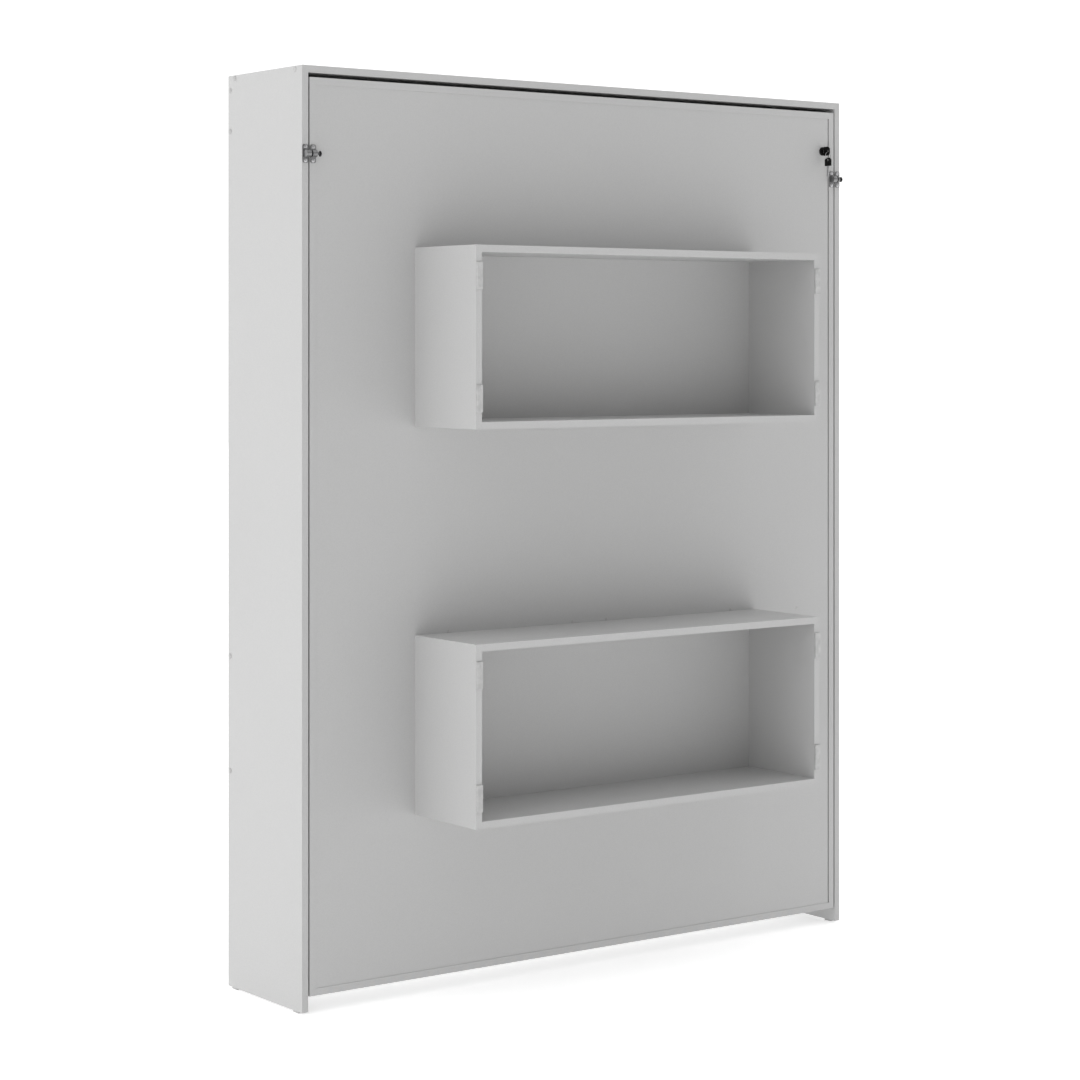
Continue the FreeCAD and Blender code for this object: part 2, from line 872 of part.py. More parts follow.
def make_latches():
    """The left bolt rides on the bed and the right bolt on the cabinet; both shoot left."""
    left_barrel = ("-(rail_out)", "barrel_left_long - (rail_out)")
    right_barrel = ("side_in", "side_in + barrel_right_long")
    make_latch_part("latch_body_left", "left", "rail", left_barrel)
    make_latch_part(
        "latch_keeper_left",
        "left",
        "side",
        ("keeper_over - (side_in) - keeper_long", "keeper_over - (side_in)"),
        "keeper_gap",
    )
    make_latch_part("latch_body_right", "right", "side", right_barrel)
    make_latch_part(
        "latch_keeper_right",
        "right",
        "rail",
        ("rail_out + keeper_over - keeper_long", "rail_out + keeper_over"),
        "keeper_gap",
    )
    make_latch_bolt("left", left_barrel)
    make_latch_bolt("right", right_barrel)
    for piece, name in (("side", "latch_screws_cabinet"), ("rail", "latch_screws_bed")):
        screws = []
        for side in ("left", "right"):
            starts = latch_screw_starts(side, piece, "front_y - latch_plate - latch_head_high")
            for number, start in enumerate(starts):
                label = f"latch_screw_{side}_{piece}_{number}"
                head = rod(label + "_head", "y", start, "latch_head_radius", "latch_head_high")
                shank = rod(
                    label + "_shank",
                    "y",
                    start,
                    "latch_hole_radius - screw_slack",
                    "latch_screw_long",
                )
                screws.append(fuse(label, [head, shank]))
        keep(gather(name, screws), name)


# Lock and keys ---------------------------------------------------------------


def lock_slot(name, near, far):
    half_tall = "(lock_bolt_tall / 2 + lock_slot_slack)"
    half_deep = "(lock_bolt_deep / 2 + lock_slot_slack)"
    return box(
        name,
        (near, far),
        (f"lock_bolt_y - {half_deep}", f"lock_bolt_y + {half_deep}"),
        (f"lock_z - {half_tall}", f"lock_z + {half_tall}"),
    )


def make_lock():
    case = box(
        "case_block",
        ("case_right - case_wide", "case_right"),
        ("case_y", "case_y + case_deep"),
        ("lock_z - case_tall / 2", "lock_z + case_tall / 2"),
    )
    tunnel = lock_slot("case_tunnel", "lock_x - lock_bolt_lap - lock_slot_slack", "case_right")
    keep(cut("lock_case", case, [tunnel]), "lock_case")
    rosette = rod(
        "rosette",
        "y",
        ("lock_x", "panel_y - rosette_thick", "lock_z"),
        "rosette_radius",
        "rosette_thick",
    )
    sleeve = rod(
        "lock_sleeve",
        "y",
        ("lock_x", "panel_y", "lock_z"),
        "barrel_lock_radius - barrel_slack",
        "board",
    )
    bore = rod(
        "lock_sleeve_bore",
        "y",
        ("lock_x", "panel_y - rosette_thick", "lock_z"),
        "plug_radius + running_gap",
        "rosette_thick + board",
    )
    keep(cut("lock_barrel", fuse("lock_shell", [rosette, sleeve]), [bore]), "lock_barrel")
    plug = rod(
        "plug_rod",
        "y",
        ("lock_x", "panel_y - rosette_thick - plug_proud", "lock_z"),
        "plug_radius",
        "plug_proud + rosette_thick + board",
    )
    keyway = box(
        "keyway",
        ("lock_x - blade_thick / 2 - barrel_slack", "lock_x + blade_thick / 2 + barrel_slack"),
        ("panel_y - rosette_thick - plug_proud", "panel_y + key_depth"),
        ("lock_z - blade_wide / 2 - barrel_slack", "lock_z + blade_wide / 2 + barrel_slack"),
    )
    keep(cut("plug_body", plug, [keyway]), "lock_plug")
    bolt = box(
        "lock_bolt",
        ("lock_x - lock_bolt_lap", "rail_out - lock_bolt_tip"),
        ("lock_bolt_y - lock_bolt_deep / 2", "lock_bolt_y + lock_bolt_deep / 2"),
        ("lock_z - lock_bolt_tall / 2", "lock_z + lock_bolt_tall / 2"),
    )
    keep(bolt, "lock_bolt")
    strike = box(
        "strike_plate",
        ("side_in - strike_thick", "side_in"),
        ("lock_bolt_y - strike_deep / 2", "lock_bolt_y + strike_deep / 2"),
        ("lock_z - strike_tall / 2", "lock_z + strike_tall / 2"),
    )
    window = lock_slot("strike_window", "side_in - strike_thick", "side_in")
    keep(cut("lock_strike", strike, [window]), "lock_strike")


def origin_plane(body, role):
    return next(item for item in body.Origin.OriginFeatures if item.Role == role)


def make_bow(name):
    """A plastic key head: a plate in the YZ plane with two cut corners and a ring hole.

    Its far end points down the sketch's vertical axis from the body's origin.
    """
    wide = sizes["bow_wide"]
    tall = sizes["bow_long"]
    corner = sizes["bow_corner"]
    body = doc.addObject("PartDesign::Body", name + "_body")
    sketch = body.newObject("Sketcher::SketchObject", name + "_outline")
    sketch.AttachmentSupport = (origin_plane(body, "YZ_Plane"), [""])
    sketch.MapMode = "FlatFace"
    corners = [
        (-wide / 2, 0),
        (wide / 2, 0),
        (wide / 2, tall - corner),
        (wide / 2 - corner, tall),
        (corner - wide / 2, tall),
        (-wide / 2, tall - corner),
    ]
    points = [FreeCAD.Vector(across, along, 0) for across, along in corners]
    for number, point in enumerate(points):
        following = points[(number + 1) % len(points)]
        sketch.addGeometry(Part.LineSegment(point, following), False)
    count = len(points)
    for number in range(count):
        sketch.addConstraint(
            Sketcher.Constraint("Coincident", number, 2, (number + 1) % count, 1)
        )
    sketch.addConstraint(Sketcher.Constraint("PointOnObject", 0, 1, -1))
    sketch.addConstraint(Sketcher.Constraint("Vertical", 1))
    sketch.addConstraint(Sketcher.Constraint("Symmetric", 1, 2, 5, 1, -2))
    sketch.addConstraint(Sketcher.Constraint("Symmetric", 0, 1, 0, 2, -2))
    sketch.addConstraint(Sketcher.Constraint("Symmetric", 3, 1, 3, 2, -2))
    width = sketch.addConstraint(Sketcher.Constraint("DistanceX", 0, 1, 0, 2, wide))
    top = sketch.addConstraint(Sketcher.Constraint("DistanceX", 3, 2, 3, 1, wide - 2 * corner))
    height = sketch.addConstraint(Sketcher.Constraint("DistanceY", 0, 2, 2, 2, tall))
    shoulder = sketch.addConstraint(
        Sketcher.Constraint("DistanceY", 0, 2, 1, 2, tall - corner)
    )
    sketch.setExpression(f"Constraints[{width}]", expand("bow_wide"))
    sketch.setExpression(f"Constraints[{top}]", expand("bow_wide - 2 * bow_corner"))
    sketch.setExpression(f"Constraints[{height}]", expand("bow_long"))
    sketch.setExpression(f"Constraints[{shoulder}]", expand("bow_long - bow_corner"))
    pad = body.newObject("PartDesign::Pad", name + "_plate")
    pad.Profile = sketch
    pad.Midplane = True
    bind(pad, Length="bow_thick")
    doc.recompute()
    eye = body.newObject("Sketcher::SketchObject", name + "_eye")
    eye.AttachmentSupport = (origin_plane(body, "YZ_Plane"), [""])
    eye.MapMode = "FlatFace"
    along = sizes["bow_long"] - sizes["bow_hole_edge"]
    circle = Part.Circle(
        FreeCAD.Vector(0, along, 0), FreeCAD.Vector(0, 0, 1), sizes["bow_hole_radius"]
    )
    eye.addGeometry(circle, False)
    eye.addConstraint(Sketcher.Constraint("PointOnObject", 0, 3, -2))
    radius = eye.addConstraint(Sketcher.Constraint("Radius", 0, sizes["bow_hole_radius"]))
    place = eye.addConstraint(Sketcher.Constraint("DistanceY", -1, 1, 0, 3, along))
    eye.setExpression(f"Constraints[{radius}]", expand("bow_hole_radius"))
    eye.setExpression(f"Constraints[{place}]", expand("bow_long - bow_hole_edge"))
    pocket = body.newObject("PartDesign::Pocket", name + "_ring_hole")
    pocket.Profile = eye
    pocket.Midplane = True
    bind(pocket, Length="2 * bow_thick")
    doc.recompute()
    return body


def make_keys():
    """The working key in the lock and a spare that hangs from it on a ring."""
    bow = make_bow("key_bow")
    bow.Placement = FreeCAD.Placement(
        FreeCAD.Vector(), FreeCAD.Rotation(FreeCAD.Vector(1, 0, 0), 90)
    )
    put(bow, "lock_x", "bow_y", "lock_z")
    keep(bow, "key_head")
    blade = box(
        "key_blade",
        ("lock_x - blade_thick / 2", "lock_x + blade_thick / 2"),
        ("bow_y", "panel_y + key_depth"),
        ("lock_z - blade_wide / 2", "lock_z + blade_wide / 2"),
    )
    keep(blade, "key_blade")
    spare = make_bow("spare_bow")
    put(spare, "lock_x", "ring_y", "spare_top - bow_long")
    keep(spare, "spare_key_head")
    blade = box(
        "spare_key_blade",
        ("lock_x - blade_thick / 2", "lock_x + blade_thick / 2"),
        ("ring_y - blade_wide / 2", "ring_y + blade_wide / 2"),
        ("spare_top - bow_long - blade_long", "spare_top - bow_long"),
    )
    keep(blade, "spare_key_blade")
    ring = doc.addObject("Part::Torus", "key_ring")
    ring.Placement = FreeCAD.Placement(FreeCAD.Vector(), axis_turns["y"])
    bind(ring, Radius1="ring_radius", Radius2="ring_wire")
    put(ring, "lock_x", "ring_y", "ring_z")
    keep(ring, "key_ring")


def check_model():
    doc.recompute()
    for item in doc.Objects:
        if "Invalid" in item.State or "Error" in item.State:
            raise RuntimeError(f"{item.Name} failed: {item.State}")
    for item in nodes:
        if item.Shape.isNull() or not item.Shape.isValid():
            raise RuntimeError(f"{item.Label} has no valid shape")


def write_parts():
    os.makedirs("parts", exist_ok=True)
    for item in nodes:
        item.Shape.exportStep(os.path.join("parts", item.Label + ".step"))
    print(len(nodes), "parts written")


fill_sheet()
for side in ("left", "right"):
    make_side_panel(side)
make_cross_boards()
make_cabinet_fixings()
make_feet()
for side in ("left", "right"):
    make_strut(side)
    make_bed_rail(side)
make_pairs()
make_bed_ends()
make_front_panel()
make_slat_base()
make_mattress()
make_straps()
make_shelves()
make_latches()
make_lock()
make_keys()
check_model()
write_parts()
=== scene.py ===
import bmesh
import bpy
from math import cos, pi, radians, sin
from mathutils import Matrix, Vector


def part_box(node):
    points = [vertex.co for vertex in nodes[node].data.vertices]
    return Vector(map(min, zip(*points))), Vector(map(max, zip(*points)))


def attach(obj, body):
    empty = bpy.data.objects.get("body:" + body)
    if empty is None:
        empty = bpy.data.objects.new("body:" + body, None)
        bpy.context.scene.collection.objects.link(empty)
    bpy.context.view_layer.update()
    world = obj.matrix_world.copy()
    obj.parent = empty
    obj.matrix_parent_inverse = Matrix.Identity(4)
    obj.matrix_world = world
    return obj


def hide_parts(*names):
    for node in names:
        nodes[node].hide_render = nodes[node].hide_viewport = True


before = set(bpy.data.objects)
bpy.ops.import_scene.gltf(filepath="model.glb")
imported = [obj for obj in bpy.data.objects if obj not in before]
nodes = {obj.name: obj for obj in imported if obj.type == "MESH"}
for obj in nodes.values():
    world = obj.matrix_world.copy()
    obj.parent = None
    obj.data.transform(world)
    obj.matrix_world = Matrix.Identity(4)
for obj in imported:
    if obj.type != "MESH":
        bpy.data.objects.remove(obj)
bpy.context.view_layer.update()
scene = bpy.context.scene
print("frame loaded:", len(nodes), "nodes")

camera = {
    "place": (-3.9111, -5.1133, 1.4837),
    "turn": -0.6378,      # about Z, towards the right-hand end of the cabinet
    "lens": 89.43,
    "sensor": 36.0,
    "shiftY": -0.1819,
}


def addCamera():
    data = bpy.data.cameras.new("camera")
    data.sensor_width = camera["sensor"]
    data.lens = camera["lens"]
    data.shift_y = camera["shiftY"]
    data.clip_end = 60.0
    obj = bpy.data.objects.new("camera", data)
    obj.location = camera["place"]
    obj.rotation_euler = (pi / 2, 0.0, camera["turn"])
    scene.collection.objects.link(obj)
    scene.camera = obj


addCamera()


class Shader:
    # a small wrapper that keeps node wiring short

    def __init__(self, name):
        self.material = bpy.data.materials.new(name)
        self.material.use_nodes = True
        self.tree = self.material.node_tree
        self.surface = self.tree.nodes["Principled BSDF"]
        self.coords = self.add("ShaderNodeTexCoord").outputs["Object"]

    def add(self, kind, **inputs):
        node = self.tree.nodes.new(kind)
        for key, value in inputs.items():
            self.feed(node, key, value)
        return node

    def feed(self, node, key, value):
        socket = node.inputs[key]
        if isinstance(value, bpy.types.NodeSocket):
            self.tree.links.new(value, socket)
        else:
            socket.default_value = value

    def scaled(self, scale, turn=(0.0, 0.0, 0.0)):
        node = self.add("ShaderNodeMapping", Vector=self.coords)
        node.inputs["Scale"].default_value = scale
        node.inputs["Rotation"].default_value = turn
        return node.outputs["Vector"]

    def noise(self, vector, scale, detail=3.0, roughness=0.55):
        node = self.add("ShaderNodeTexNoise", Vector=vector, Scale=scale, Detail=detail)
        node.inputs["Roughness"].default_value = roughness
        return node.outputs["Fac"]

    def wave(self, vector, scale, axis, distortion=0.0):
        node = self.add("ShaderNodeTexWave", Vector=vector, Scale=scale, Distortion=distortion)
        node.bands_direction = axis
        return node.outputs["Fac"]

    def spread(self, value, low, high, lowTo=0.0, highTo=1.0):
        node = self.add("ShaderNodeMapRange", Value=value)
        ends = {"From Min": low, "From Max": high, "To Min": lowTo, "To Max": highTo}
        for key, number in ends.items():
            node.inputs[key].default_value = number
        return node.outputs["Result"]

    def sums(self, operation, first, second):
        node = self.add("ShaderNodeMath")
        node.operation = operation
        self.feed(node, 0, first)
        self.feed(node, 1, second)
        return node.outputs[0]

    def colours(self, factor, first, second):
        node = self.add("ShaderNodeMix")
        node.data_type = "RGBA"
        self.feed(node, 0, factor)
        self.feed(node, 6, (*first, 1.0) if isinstance(first, tuple) else first)
        self.feed(node, 7, (*second, 1.0) if isinstance(second, tuple) else second)
        return node.outputs[2]

    def bump(self, height, distance, strength=1.0, normal=None):
        node = self.add("ShaderNodeBump", Height=height, Distance=distance, Strength=strength)
        if normal is not None:
            self.feed(node, "Normal", normal)
        return node.outputs["Normal"]

    def dress(self, **inputs):
        for key, value in inputs.items():
            self.feed(self.surface, key.replace("_", " "), value)
        return self.material


melamine = {
    "light": (0.545, 0.545, 0.543),
    "dark": (0.465, 0.465, 0.465),
    "grainScale": 900.0,
    "roughness": 0.46,
}


def makeMelamine(name, light, dark):
    # matt laminate: a very fine mottle, a faint cloudiness and a pebbled press texture
    s = Shader(name)
    fine = s.noise(s.coords, melamine["grainScale"], 2.0, 0.7)
    cloud = s.noise(s.coords, 3.0, 4.0, 0.6)
    mottle = s.spread(fine, 0.32, 0.68)
    mixed = s.sums("ADD", s.sums("MULTIPLY", mottle, 0.75), s.sums("MULTIPLY", cloud, 0.25))
    colour = s.colours(mixed, dark, light)
    gloss = s.noise(s.coords, 260.0, 2.0)
    rough = s.spread(gloss, 0.3, 0.7, melamine["roughness"] - 0.05, melamine["roughness"] + 0.08)
    pebble = s.noise(s.coords, 1500.0, 1.0)
    normal = s.bump(pebble, 0.00012, 0.5)
    return s.dress(Base_Color=colour, Roughness=rough, Normal=normal, Specular_IOR_Level=0.35)


def makeMetal(name, colour, roughness, stretch=(1.0, 1.0, 1.0), scratch=1800.0):
    s = Shader(name)
    brushed = s.noise(s.scaled(stretch), scratch, 3.0, 0.6)
    stain = s.noise(s.coords, 90.0, 3.0)
    darker = tuple(c * 0.72 for c in colour)
    tint = s.colours(s.spread(stain, 0.35, 0.65), darker, colour)
    rough = s.spread(brushed, 0.3, 0.7, roughness - 0.08, roughness + 0.10)
    normal = s.bump(brushed, 0.00006, 0.35)
    return s.dress(Base_Color=tint, Metallic=1.0, Roughness=rough, Normal=normal)


def makePlastic(name, colour, roughness, grain=1400.0, depth=0.00005, shine=0.5):
    s = Shader(name)
    pores = s.noise(s.coords, grain, 2.0)
    wear = s.noise(s.coords, 60.0, 3.0)
    paler = tuple(min(1.0, c * 1.25 + 0.004) for c in colour)
    tint = s.colours(s.spread(wear, 0.4, 0.75), colour, paler)
    rough = s.spread(pores, 0.3, 0.7, roughness - 0.05, roughness + 0.07)
    normal = s.bump(pores, depth, 0.5)
    return s.dress(Base_Color=tint, Roughness=rough, Normal=normal, Specular_IOR_Level=shine)


def makeBirch():
    # peeled birch: long streaks along the slat, faint rings and fine pores
    s = Shader("birch")
    along = s.scaled((1.4, 30.0, 30.0))
    streak = s.noise(along, 9.0, 5.0, 0.62)
    ring = s.wave(s.scaled((0.5, 9.0, 14.0)), 3.0, "Z", 6.0)
    mixed = s.sums("ADD", s.sums("MULTIPLY", streak, 0.7), s.sums("MULTIPLY", ring, 0.3))
    colour = s.colours(s.spread(mixed, 0.3, 0.75), (0.50, 0.34, 0.19), (0.76, 0.60, 0.40))
    pores = s.noise(s.scaled((4.0, 160.0, 160.0)), 12.0, 2.0)
    rough = s.spread(streak, 0.3, 0.7, 0.42, 0.58)
    return s.dress(Base_Color=colour, Roughness=rough, Normal=s.bump(pores, 0.00015, 0.5))


def makePine():
    s = Shader("pine")
    rings = s.wave(s.scaled((11.0, 11.0, 0.7)), 4.0, "X", 4.5)
    streak = s.noise(s.scaled((40.0, 40.0, 1.6)), 7.0, 5.0, 0.6)
    mixed = s.sums("ADD", s.sums("MULTIPLY", rings, 0.45), s.sums("MULTIPLY", streak, 0.55))
    colour = s.colours(s.spread(mixed, 0.25, 0.75), (0.62, 0.42, 0.22), (0.80, 0.64, 0.42))
    return s.dress(Base_Color=colour, Roughness=0.55, Normal=s.bump(streak, 0.0003, 0.5))


def makeTicking():
    # knitted mattress cover: small rib stitches with a slight colour drift
    s = Shader("ticking")
    ribs = s.wave(s.coords, 330.0, "X")
    rows = s.wave(s.coords, 250.0, "Z")
    stitch = s.sums("MULTIPLY", ribs, rows)
    fuzz = s.noise(s.coords, 1600.0, 2.0)
    drift = s.noise(s.coords, 4.0, 3.0)
    tone = s.colours(s.spread(stitch, 0.0, 0.8), (0.43, 0.427, 0.413), (0.60, 0.597, 0.583))
    colour = s.colours(s.sums("MULTIPLY", drift, 0.18), tone, (0.46, 0.447, 0.42))
    height = s.sums("ADD", stitch, s.sums("MULTIPLY", fuzz, 0.5))
    return s.dress(
        Base_Color=colour, Roughness=0.88, Normal=s.bump(height, 0.0004, 0.6), Sheen_Weight=0.25
    )


def makeBorder():
    # woven side band of the mattress, in warm grey
    s = Shader("border")
    warp = s.wave(s.coords, 420.0, "Z")
    weft = s.wave(s.coords, 420.0, "X")
    weave = s.sums("MAXIMUM", warp, weft)
    colour = s.colours(weave, (0.17, 0.17, 0.178), (0.28, 0.28, 0.288))
    normal = s.bump(weave, 0.0003, 0.6)
    return s.dress(Base_Color=colour, Roughness=0.9, Normal=normal, Sheen_Weight=0.2)


def makeWebbing():
    s = Shader("webbing")
    ribs = s.wave(s.coords, 300.0, "Z")
    twill = s.wave(s.scaled((1.0, 1.0, 1.0), (0.0, 0.7, 0.0)), 260.0, "DIAGONAL")
    weave = s.sums("MULTIPLY", ribs, twill)
    colour = s.colours(weave, (0.018, 0.018, 0.020), (0.060, 0.060, 0.065))
    normal = s.bump(weave, 0.0004, 0.7)
    return s.dress(Base_Color=colour, Roughness=0.82, Normal=normal, Sheen_Weight=0.06)


def makeFelt():
    s = Shader("felt")
    fibre = s.noise(s.scaled((1.0, 1.0, 0.35)), 1100.0, 4.0, 0.7)
    clump = s.noise(s.coords, 120.0, 3.0)
    colour = s.colours(s.spread(clump, 0.3, 0.7), (0.66, 0.66, 0.65), (0.82, 0.82, 0.81))
    normal = s.bump(fibre, 0.0004, 0.7)
    return s.dress(Base_Color=colour, Roughness=0.93, Normal=normal, Sheen_Weight=0.2)


finishes = {
    "melamine": makeMelamine("melamine", melamine["light"], melamine["dark"]),
    "birch": makeBirch(),
    "pine": makePine(),
    "ticking": makeTicking(),
    "border": makeBorder(),
    "webbing": makeWebbing(),
    "felt": makeFelt(),
    "zinc": makeMetal("zinc", (0.60, 0.60, 0.61), 0.34),
    "nickel": makeMetal("nickel", (0.30, 0.30, 0.305), 0.42),
    "darkNickel": makeMetal("darkNickel", (0.16, 0.16, 0.165), 0.40),
    "chrome": makeMetal("chrome", (0.86, 0.86, 0.87), 0.10, scratch=600.0),
    "blackLacquer": makePlastic("blackLacquer", (0.003, 0.003, 0.003), 0.32, shine=0.12),
    "strutBlack": makePlastic("strutBlack", (0.014, 0.014, 0.016), 0.28),
    "blackPlastic": makePlastic("blackPlastic", (0.003, 0.003, 0.003), 0.45, shine=0.12),
    "whitePlastic": makePlastic("whitePlastic", (0.43, 0.43, 0.428), 0.45, shine=0.25),
    "padPlastic": makePlastic("padPlastic", (0.45, 0.45, 0.448), 0.50, shine=0.25),
    "rubber": makePlastic("rubber", (0.10, 0.10, 0.10), 0.80, 700.0, 0.0002),
}

cadFinish = {
    "melamine": [
        "side_panel_left", "side_panel_right", "top_panel", "back_rail_upper", "back_rail_lower",
        "bed_rail_left", "bed_rail_right", "bed_rail_head", "bed_rail_foot", "front_panel",
        "upper_shelf_left", "upper_shelf_right", "upper_shelf_top", "upper_shelf_bottom",
        "lower_shelf_left", "lower_shelf_right", "lower_shelf_top", "lower_shelf_bottom",
    ],
    "pine": ["slat_ledgers", "slat_spine"],
    "zinc": [
        "cabinet_screws", "pivot_pins", "pivot_washers", "strut_studs", "strut_brackets",
        "lock_bolt", "lock_strike", "panel_pins",
    ],
    "blackPlastic": ["pivot_bushes"],
    "blackLacquer": ["lock_case"],
    "rubber": ["stop_blocks"],
}


def dressNode(node, finish):
    obj = nodes[node]
    if not obj.data.materials:
        obj.data.materials.append(finishes[finish])
    for index in range(len(obj.material_slots)):
        obj.material_slots[index].material = finishes[finish]


for finish, names in cadFinish.items():
    for node in names:
        dressNode(node, finish)
print("materials made")


def addPiece(name, bm, body, finish, replaced=(), sharp=35.0):
    bmesh.ops.remove_doubles(bm, verts=bm.verts, dist=1e-6)
    bmesh.ops.recalc_face_normals(bm, faces=bm.faces)
    mesh = bpy.data.meshes.new(name)
    for face in bm.faces:
        face.smooth = True
    bm.to_mesh(mesh)
    bm.free()
    mesh.set_sharp_from_angle(angle=radians(sharp))
    obj = bpy.data.objects.new(name, mesh)
    scene.collection.objects.link(obj)
    mesh.materials.append(finishes[finish])
    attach(obj, body)
    if replaced:
        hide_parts(*replaced)
    return obj


def rounded(bm, edges, size, segments=3):
    bmesh.ops.bevel(
        bm, geom=edges, offset=size, affect="EDGES", segments=segments, profile=0.5, material=-1
    )


def boxIn(bm, low, high, bevel=0.0, segments=3):
    # a block between two corners, with all its edges rounded
    low = Vector(low)
    high = Vector(high)
    made = bmesh.ops.create_cube(bm, size=1.0)
    bmesh.ops.scale(bm, vec=high - low, verts=made["verts"])
    bmesh.ops.translate(bm, vec=(low + high) / 2, verts=made["verts"])
    if bevel:
        edges = list({e for v in made["verts"] for e in v.link_edges})
        rounded(bm, edges, bevel, segments)


ways = {
    "x": (1, 0, 0), "-x": (-1, 0, 0), "y": (0, 1, 0), "-y": (0, -1, 0), "z": (0, 0, 1),
}


def turned(bm, profile, axis, place, steps=32):
    # a closed turned piece: profile is (distance along the axis, radius), spun about it
    verts = [bm.verts.new((radius, 0.0, along)) for along, radius in profile]
    edges = [bm.edges.new((a, b)) for a, b in zip(verts, verts[1:])]
    before = set(bm.verts)
    bmesh.ops.spin(
        bm, geom=verts + edges, cent=(0, 0, 0), axis=(0, 0, 1), angle=2 * pi, steps=steps,
        use_merge=True,
    )
    new = verts + [v for v in bm.verts if v not in before]
    new = [v for v in new if v.is_valid]
    bmesh.ops.remove_doubles(bm, verts=new, dist=1e-7)
    new = [v for v in new if v.is_valid]
    turn = Vector((0, 0, 1)).rotation_difference(Vector(ways[axis])).to_matrix()
    bmesh.ops.rotate(bm, cent=(0, 0, 0), matrix=turn, verts=new)
    bmesh.ops.translate(bm, vec=place, verts=new)
    return new


def disc(start, length, radius, lip, segments=4):
    # a profile with both rims rounded by lip
    points = [(start, 0.0), (start, radius - lip)]
    for k in range(1, segments + 1):
        a = k / segments * pi / 2
        points.append((start + lip * (1 - cos(a)), radius - lip * (1 - sin(a))))
    for k in range(1, segments + 1):
        a = k / segments * pi / 2
        points.append((start + length - lip * (1 - sin(a)), radius - lip * (1 - cos(a))))
    points.append((start + length, 0.0))
    return points


def islands(node):
    # boxes of the separate solids in a CAD node, in a steady order
    bm = bmesh.new()
    bm.from_mesh(nodes[node].data)
    bmesh.ops.remove_doubles(bm, verts=bm.verts, dist=1e-6)
    found = []
    left = set(bm.verts)
    while left:
        stack = [left.pop()]
        group = list(stack)
        while stack:
            for edge in stack.pop().link_edges:
                for v in edge.verts:
                    if v in left:
                        left.discard(v)
                        group.append(v)
                        stack.append(v)
        low = Vector([min(v.co[i] for v in group) for i in range(3)])
        high = Vector([max(v.co[i] for v in group) for i in range(3)])
        found.append((low, high))
    bm.free()
    return sorted(found, key=lambda b: tuple(round(c, 4) for c in b[0]))


def evaluated(obj):
    graph = bpy.context.evaluated_depsgraph_get()
    return bpy.data.meshes.new_from_object(obj.evaluated_get(graph))


def cutHole(obj, centre, axis, radius, depth):
    # a clean round hole through a finished piece
    tool = bmesh.new()
    turned(
        tool, [(-depth, 0.0), (-depth, radius), (depth, radius), (depth, 0.0)], axis, centre, 32
    )
    bmesh.ops.recalc_face_normals(tool, faces=tool.faces)
    mesh = bpy.data.meshes.new("drill")
    tool.to_mesh(mesh)
    tool.free()
    drill = bpy.data.objects.new("drill", mesh)
    scene.collection.objects.link(drill)
    modifier = obj.modifiers.new("drill", "BOOLEAN")
    modifier.operation = "DIFFERENCE"
    modifier.solver = "EXACT"
    modifier.use_self = True
    modifier.object = drill
    bpy.context.view_layer.update()
    solved = evaluated(obj)
    obj.modifiers.clear()
    old = obj.data
    obj.data = solved
    bpy.data.meshes.remove(old)
    bpy.data.objects.remove(drill)
    obj.data.set_sharp_from_angle(angle=radians(30.0))


pads = {"edge": 0.0012}
caps = {"rim": 0.94, "rimHigh": 0.35, "steps": 7}
feet = {"edge": 0.0012}


def addPads():
    bm = bmesh.new()
    for low, high in islands("shelf_pads"):
        boxIn(bm, low, high, pads["edge"])
    addPiece("shelfPads", bm, "bed", "padPlastic", ["shelf_pads"])


def addCaps(name, node, body, axis, dome):
    # a shallow domed cover cap that sits on each screw head
    bm = bmesh.new()
    for low, high in islands(node):
        size = high - low
        along = {"x": 0, "y": 1}[axis[-1]]
        radius = max(size) / 2
        base = (low + high) / 2
        outward = axis
        if axis == "x":
            outward = "x" if base.x > 0 else "-x"
        base[along] = low[along] if outward in ("x", "y") else high[along]
        profile = [(0.0, 0.0), (0.0, radius)]
        for k in range(caps["steps"] + 1):
            a = k / caps["steps"] * pi / 2
            rise = caps["rimHigh"] + (1 - caps["rimHigh"]) * sin(a)
            profile.append((size[along] * rise, radius * caps["rim"] * cos(a)))
        turned(bm, profile, outward, base)
    addPiece(name, bm, body, "whitePlastic", [node], dome)


def addFeet():
    bm = bmesh.new()
    for low, high in islands("glide_feet"):
        boxIn(bm, low, high, feet["edge"], 3)
    addPiece("feet", bm, "cabinet", "whitePlastic", ["glide_feet"])


addPads()
addCaps("screwCaps", "screw_caps", "cabinet", "x", 50.0)
addCaps("shelfCaps", "shelf_caps", "bed", "-y", 50.0)
addCaps("panelCap", "panel_cap", "bed", "-y", 50.0)
addFeet()
print("pads, caps and feet made")

latch = {
    "earRadius": 0.0045,
    "plateThick": 0.0015,
    "barrelRadius": 0.008,
    "barrelInset": 0.0008,
    "leftBarrel": 0.012,
    "rightBarrel": 0.0045,
    "keeperBarrel": 0.012,
    "keeperEnd": 0.0005,
    "bodyBore": 0.00262,
    "keeperBore": 0.0028,
    "keeperDeep": 0.010,
    "over": 0.001,      # how far a drill runs past a face
    "holeRadius": 0.0021,
    "headRadius": 0.0046,
    "headFlat": 0.0012,
    "headHigh": 0.0012,
    "edge": 0.0004,
    "shaft": 0.0025,
    "knob": 0.0065,
    "knobThick": 0.0025,
}


def latchPlate(bm, low, high):
    made = bmesh.ops.create_cube(bm, size=1.0)
    bmesh.ops.scale(bm, vec=high - low, verts=made["verts"])
    bmesh.ops.translate(bm, vec=(low + high) / 2, verts=made["verts"])
    upright = [
        e for e in {e for v in made["verts"] for e in v.link_edges}
        if abs(e.verts[0].co.y - e.verts[1].co.y) > 1e-5
    ]
    rounded(bm, upright, latch["earRadius"], 5)


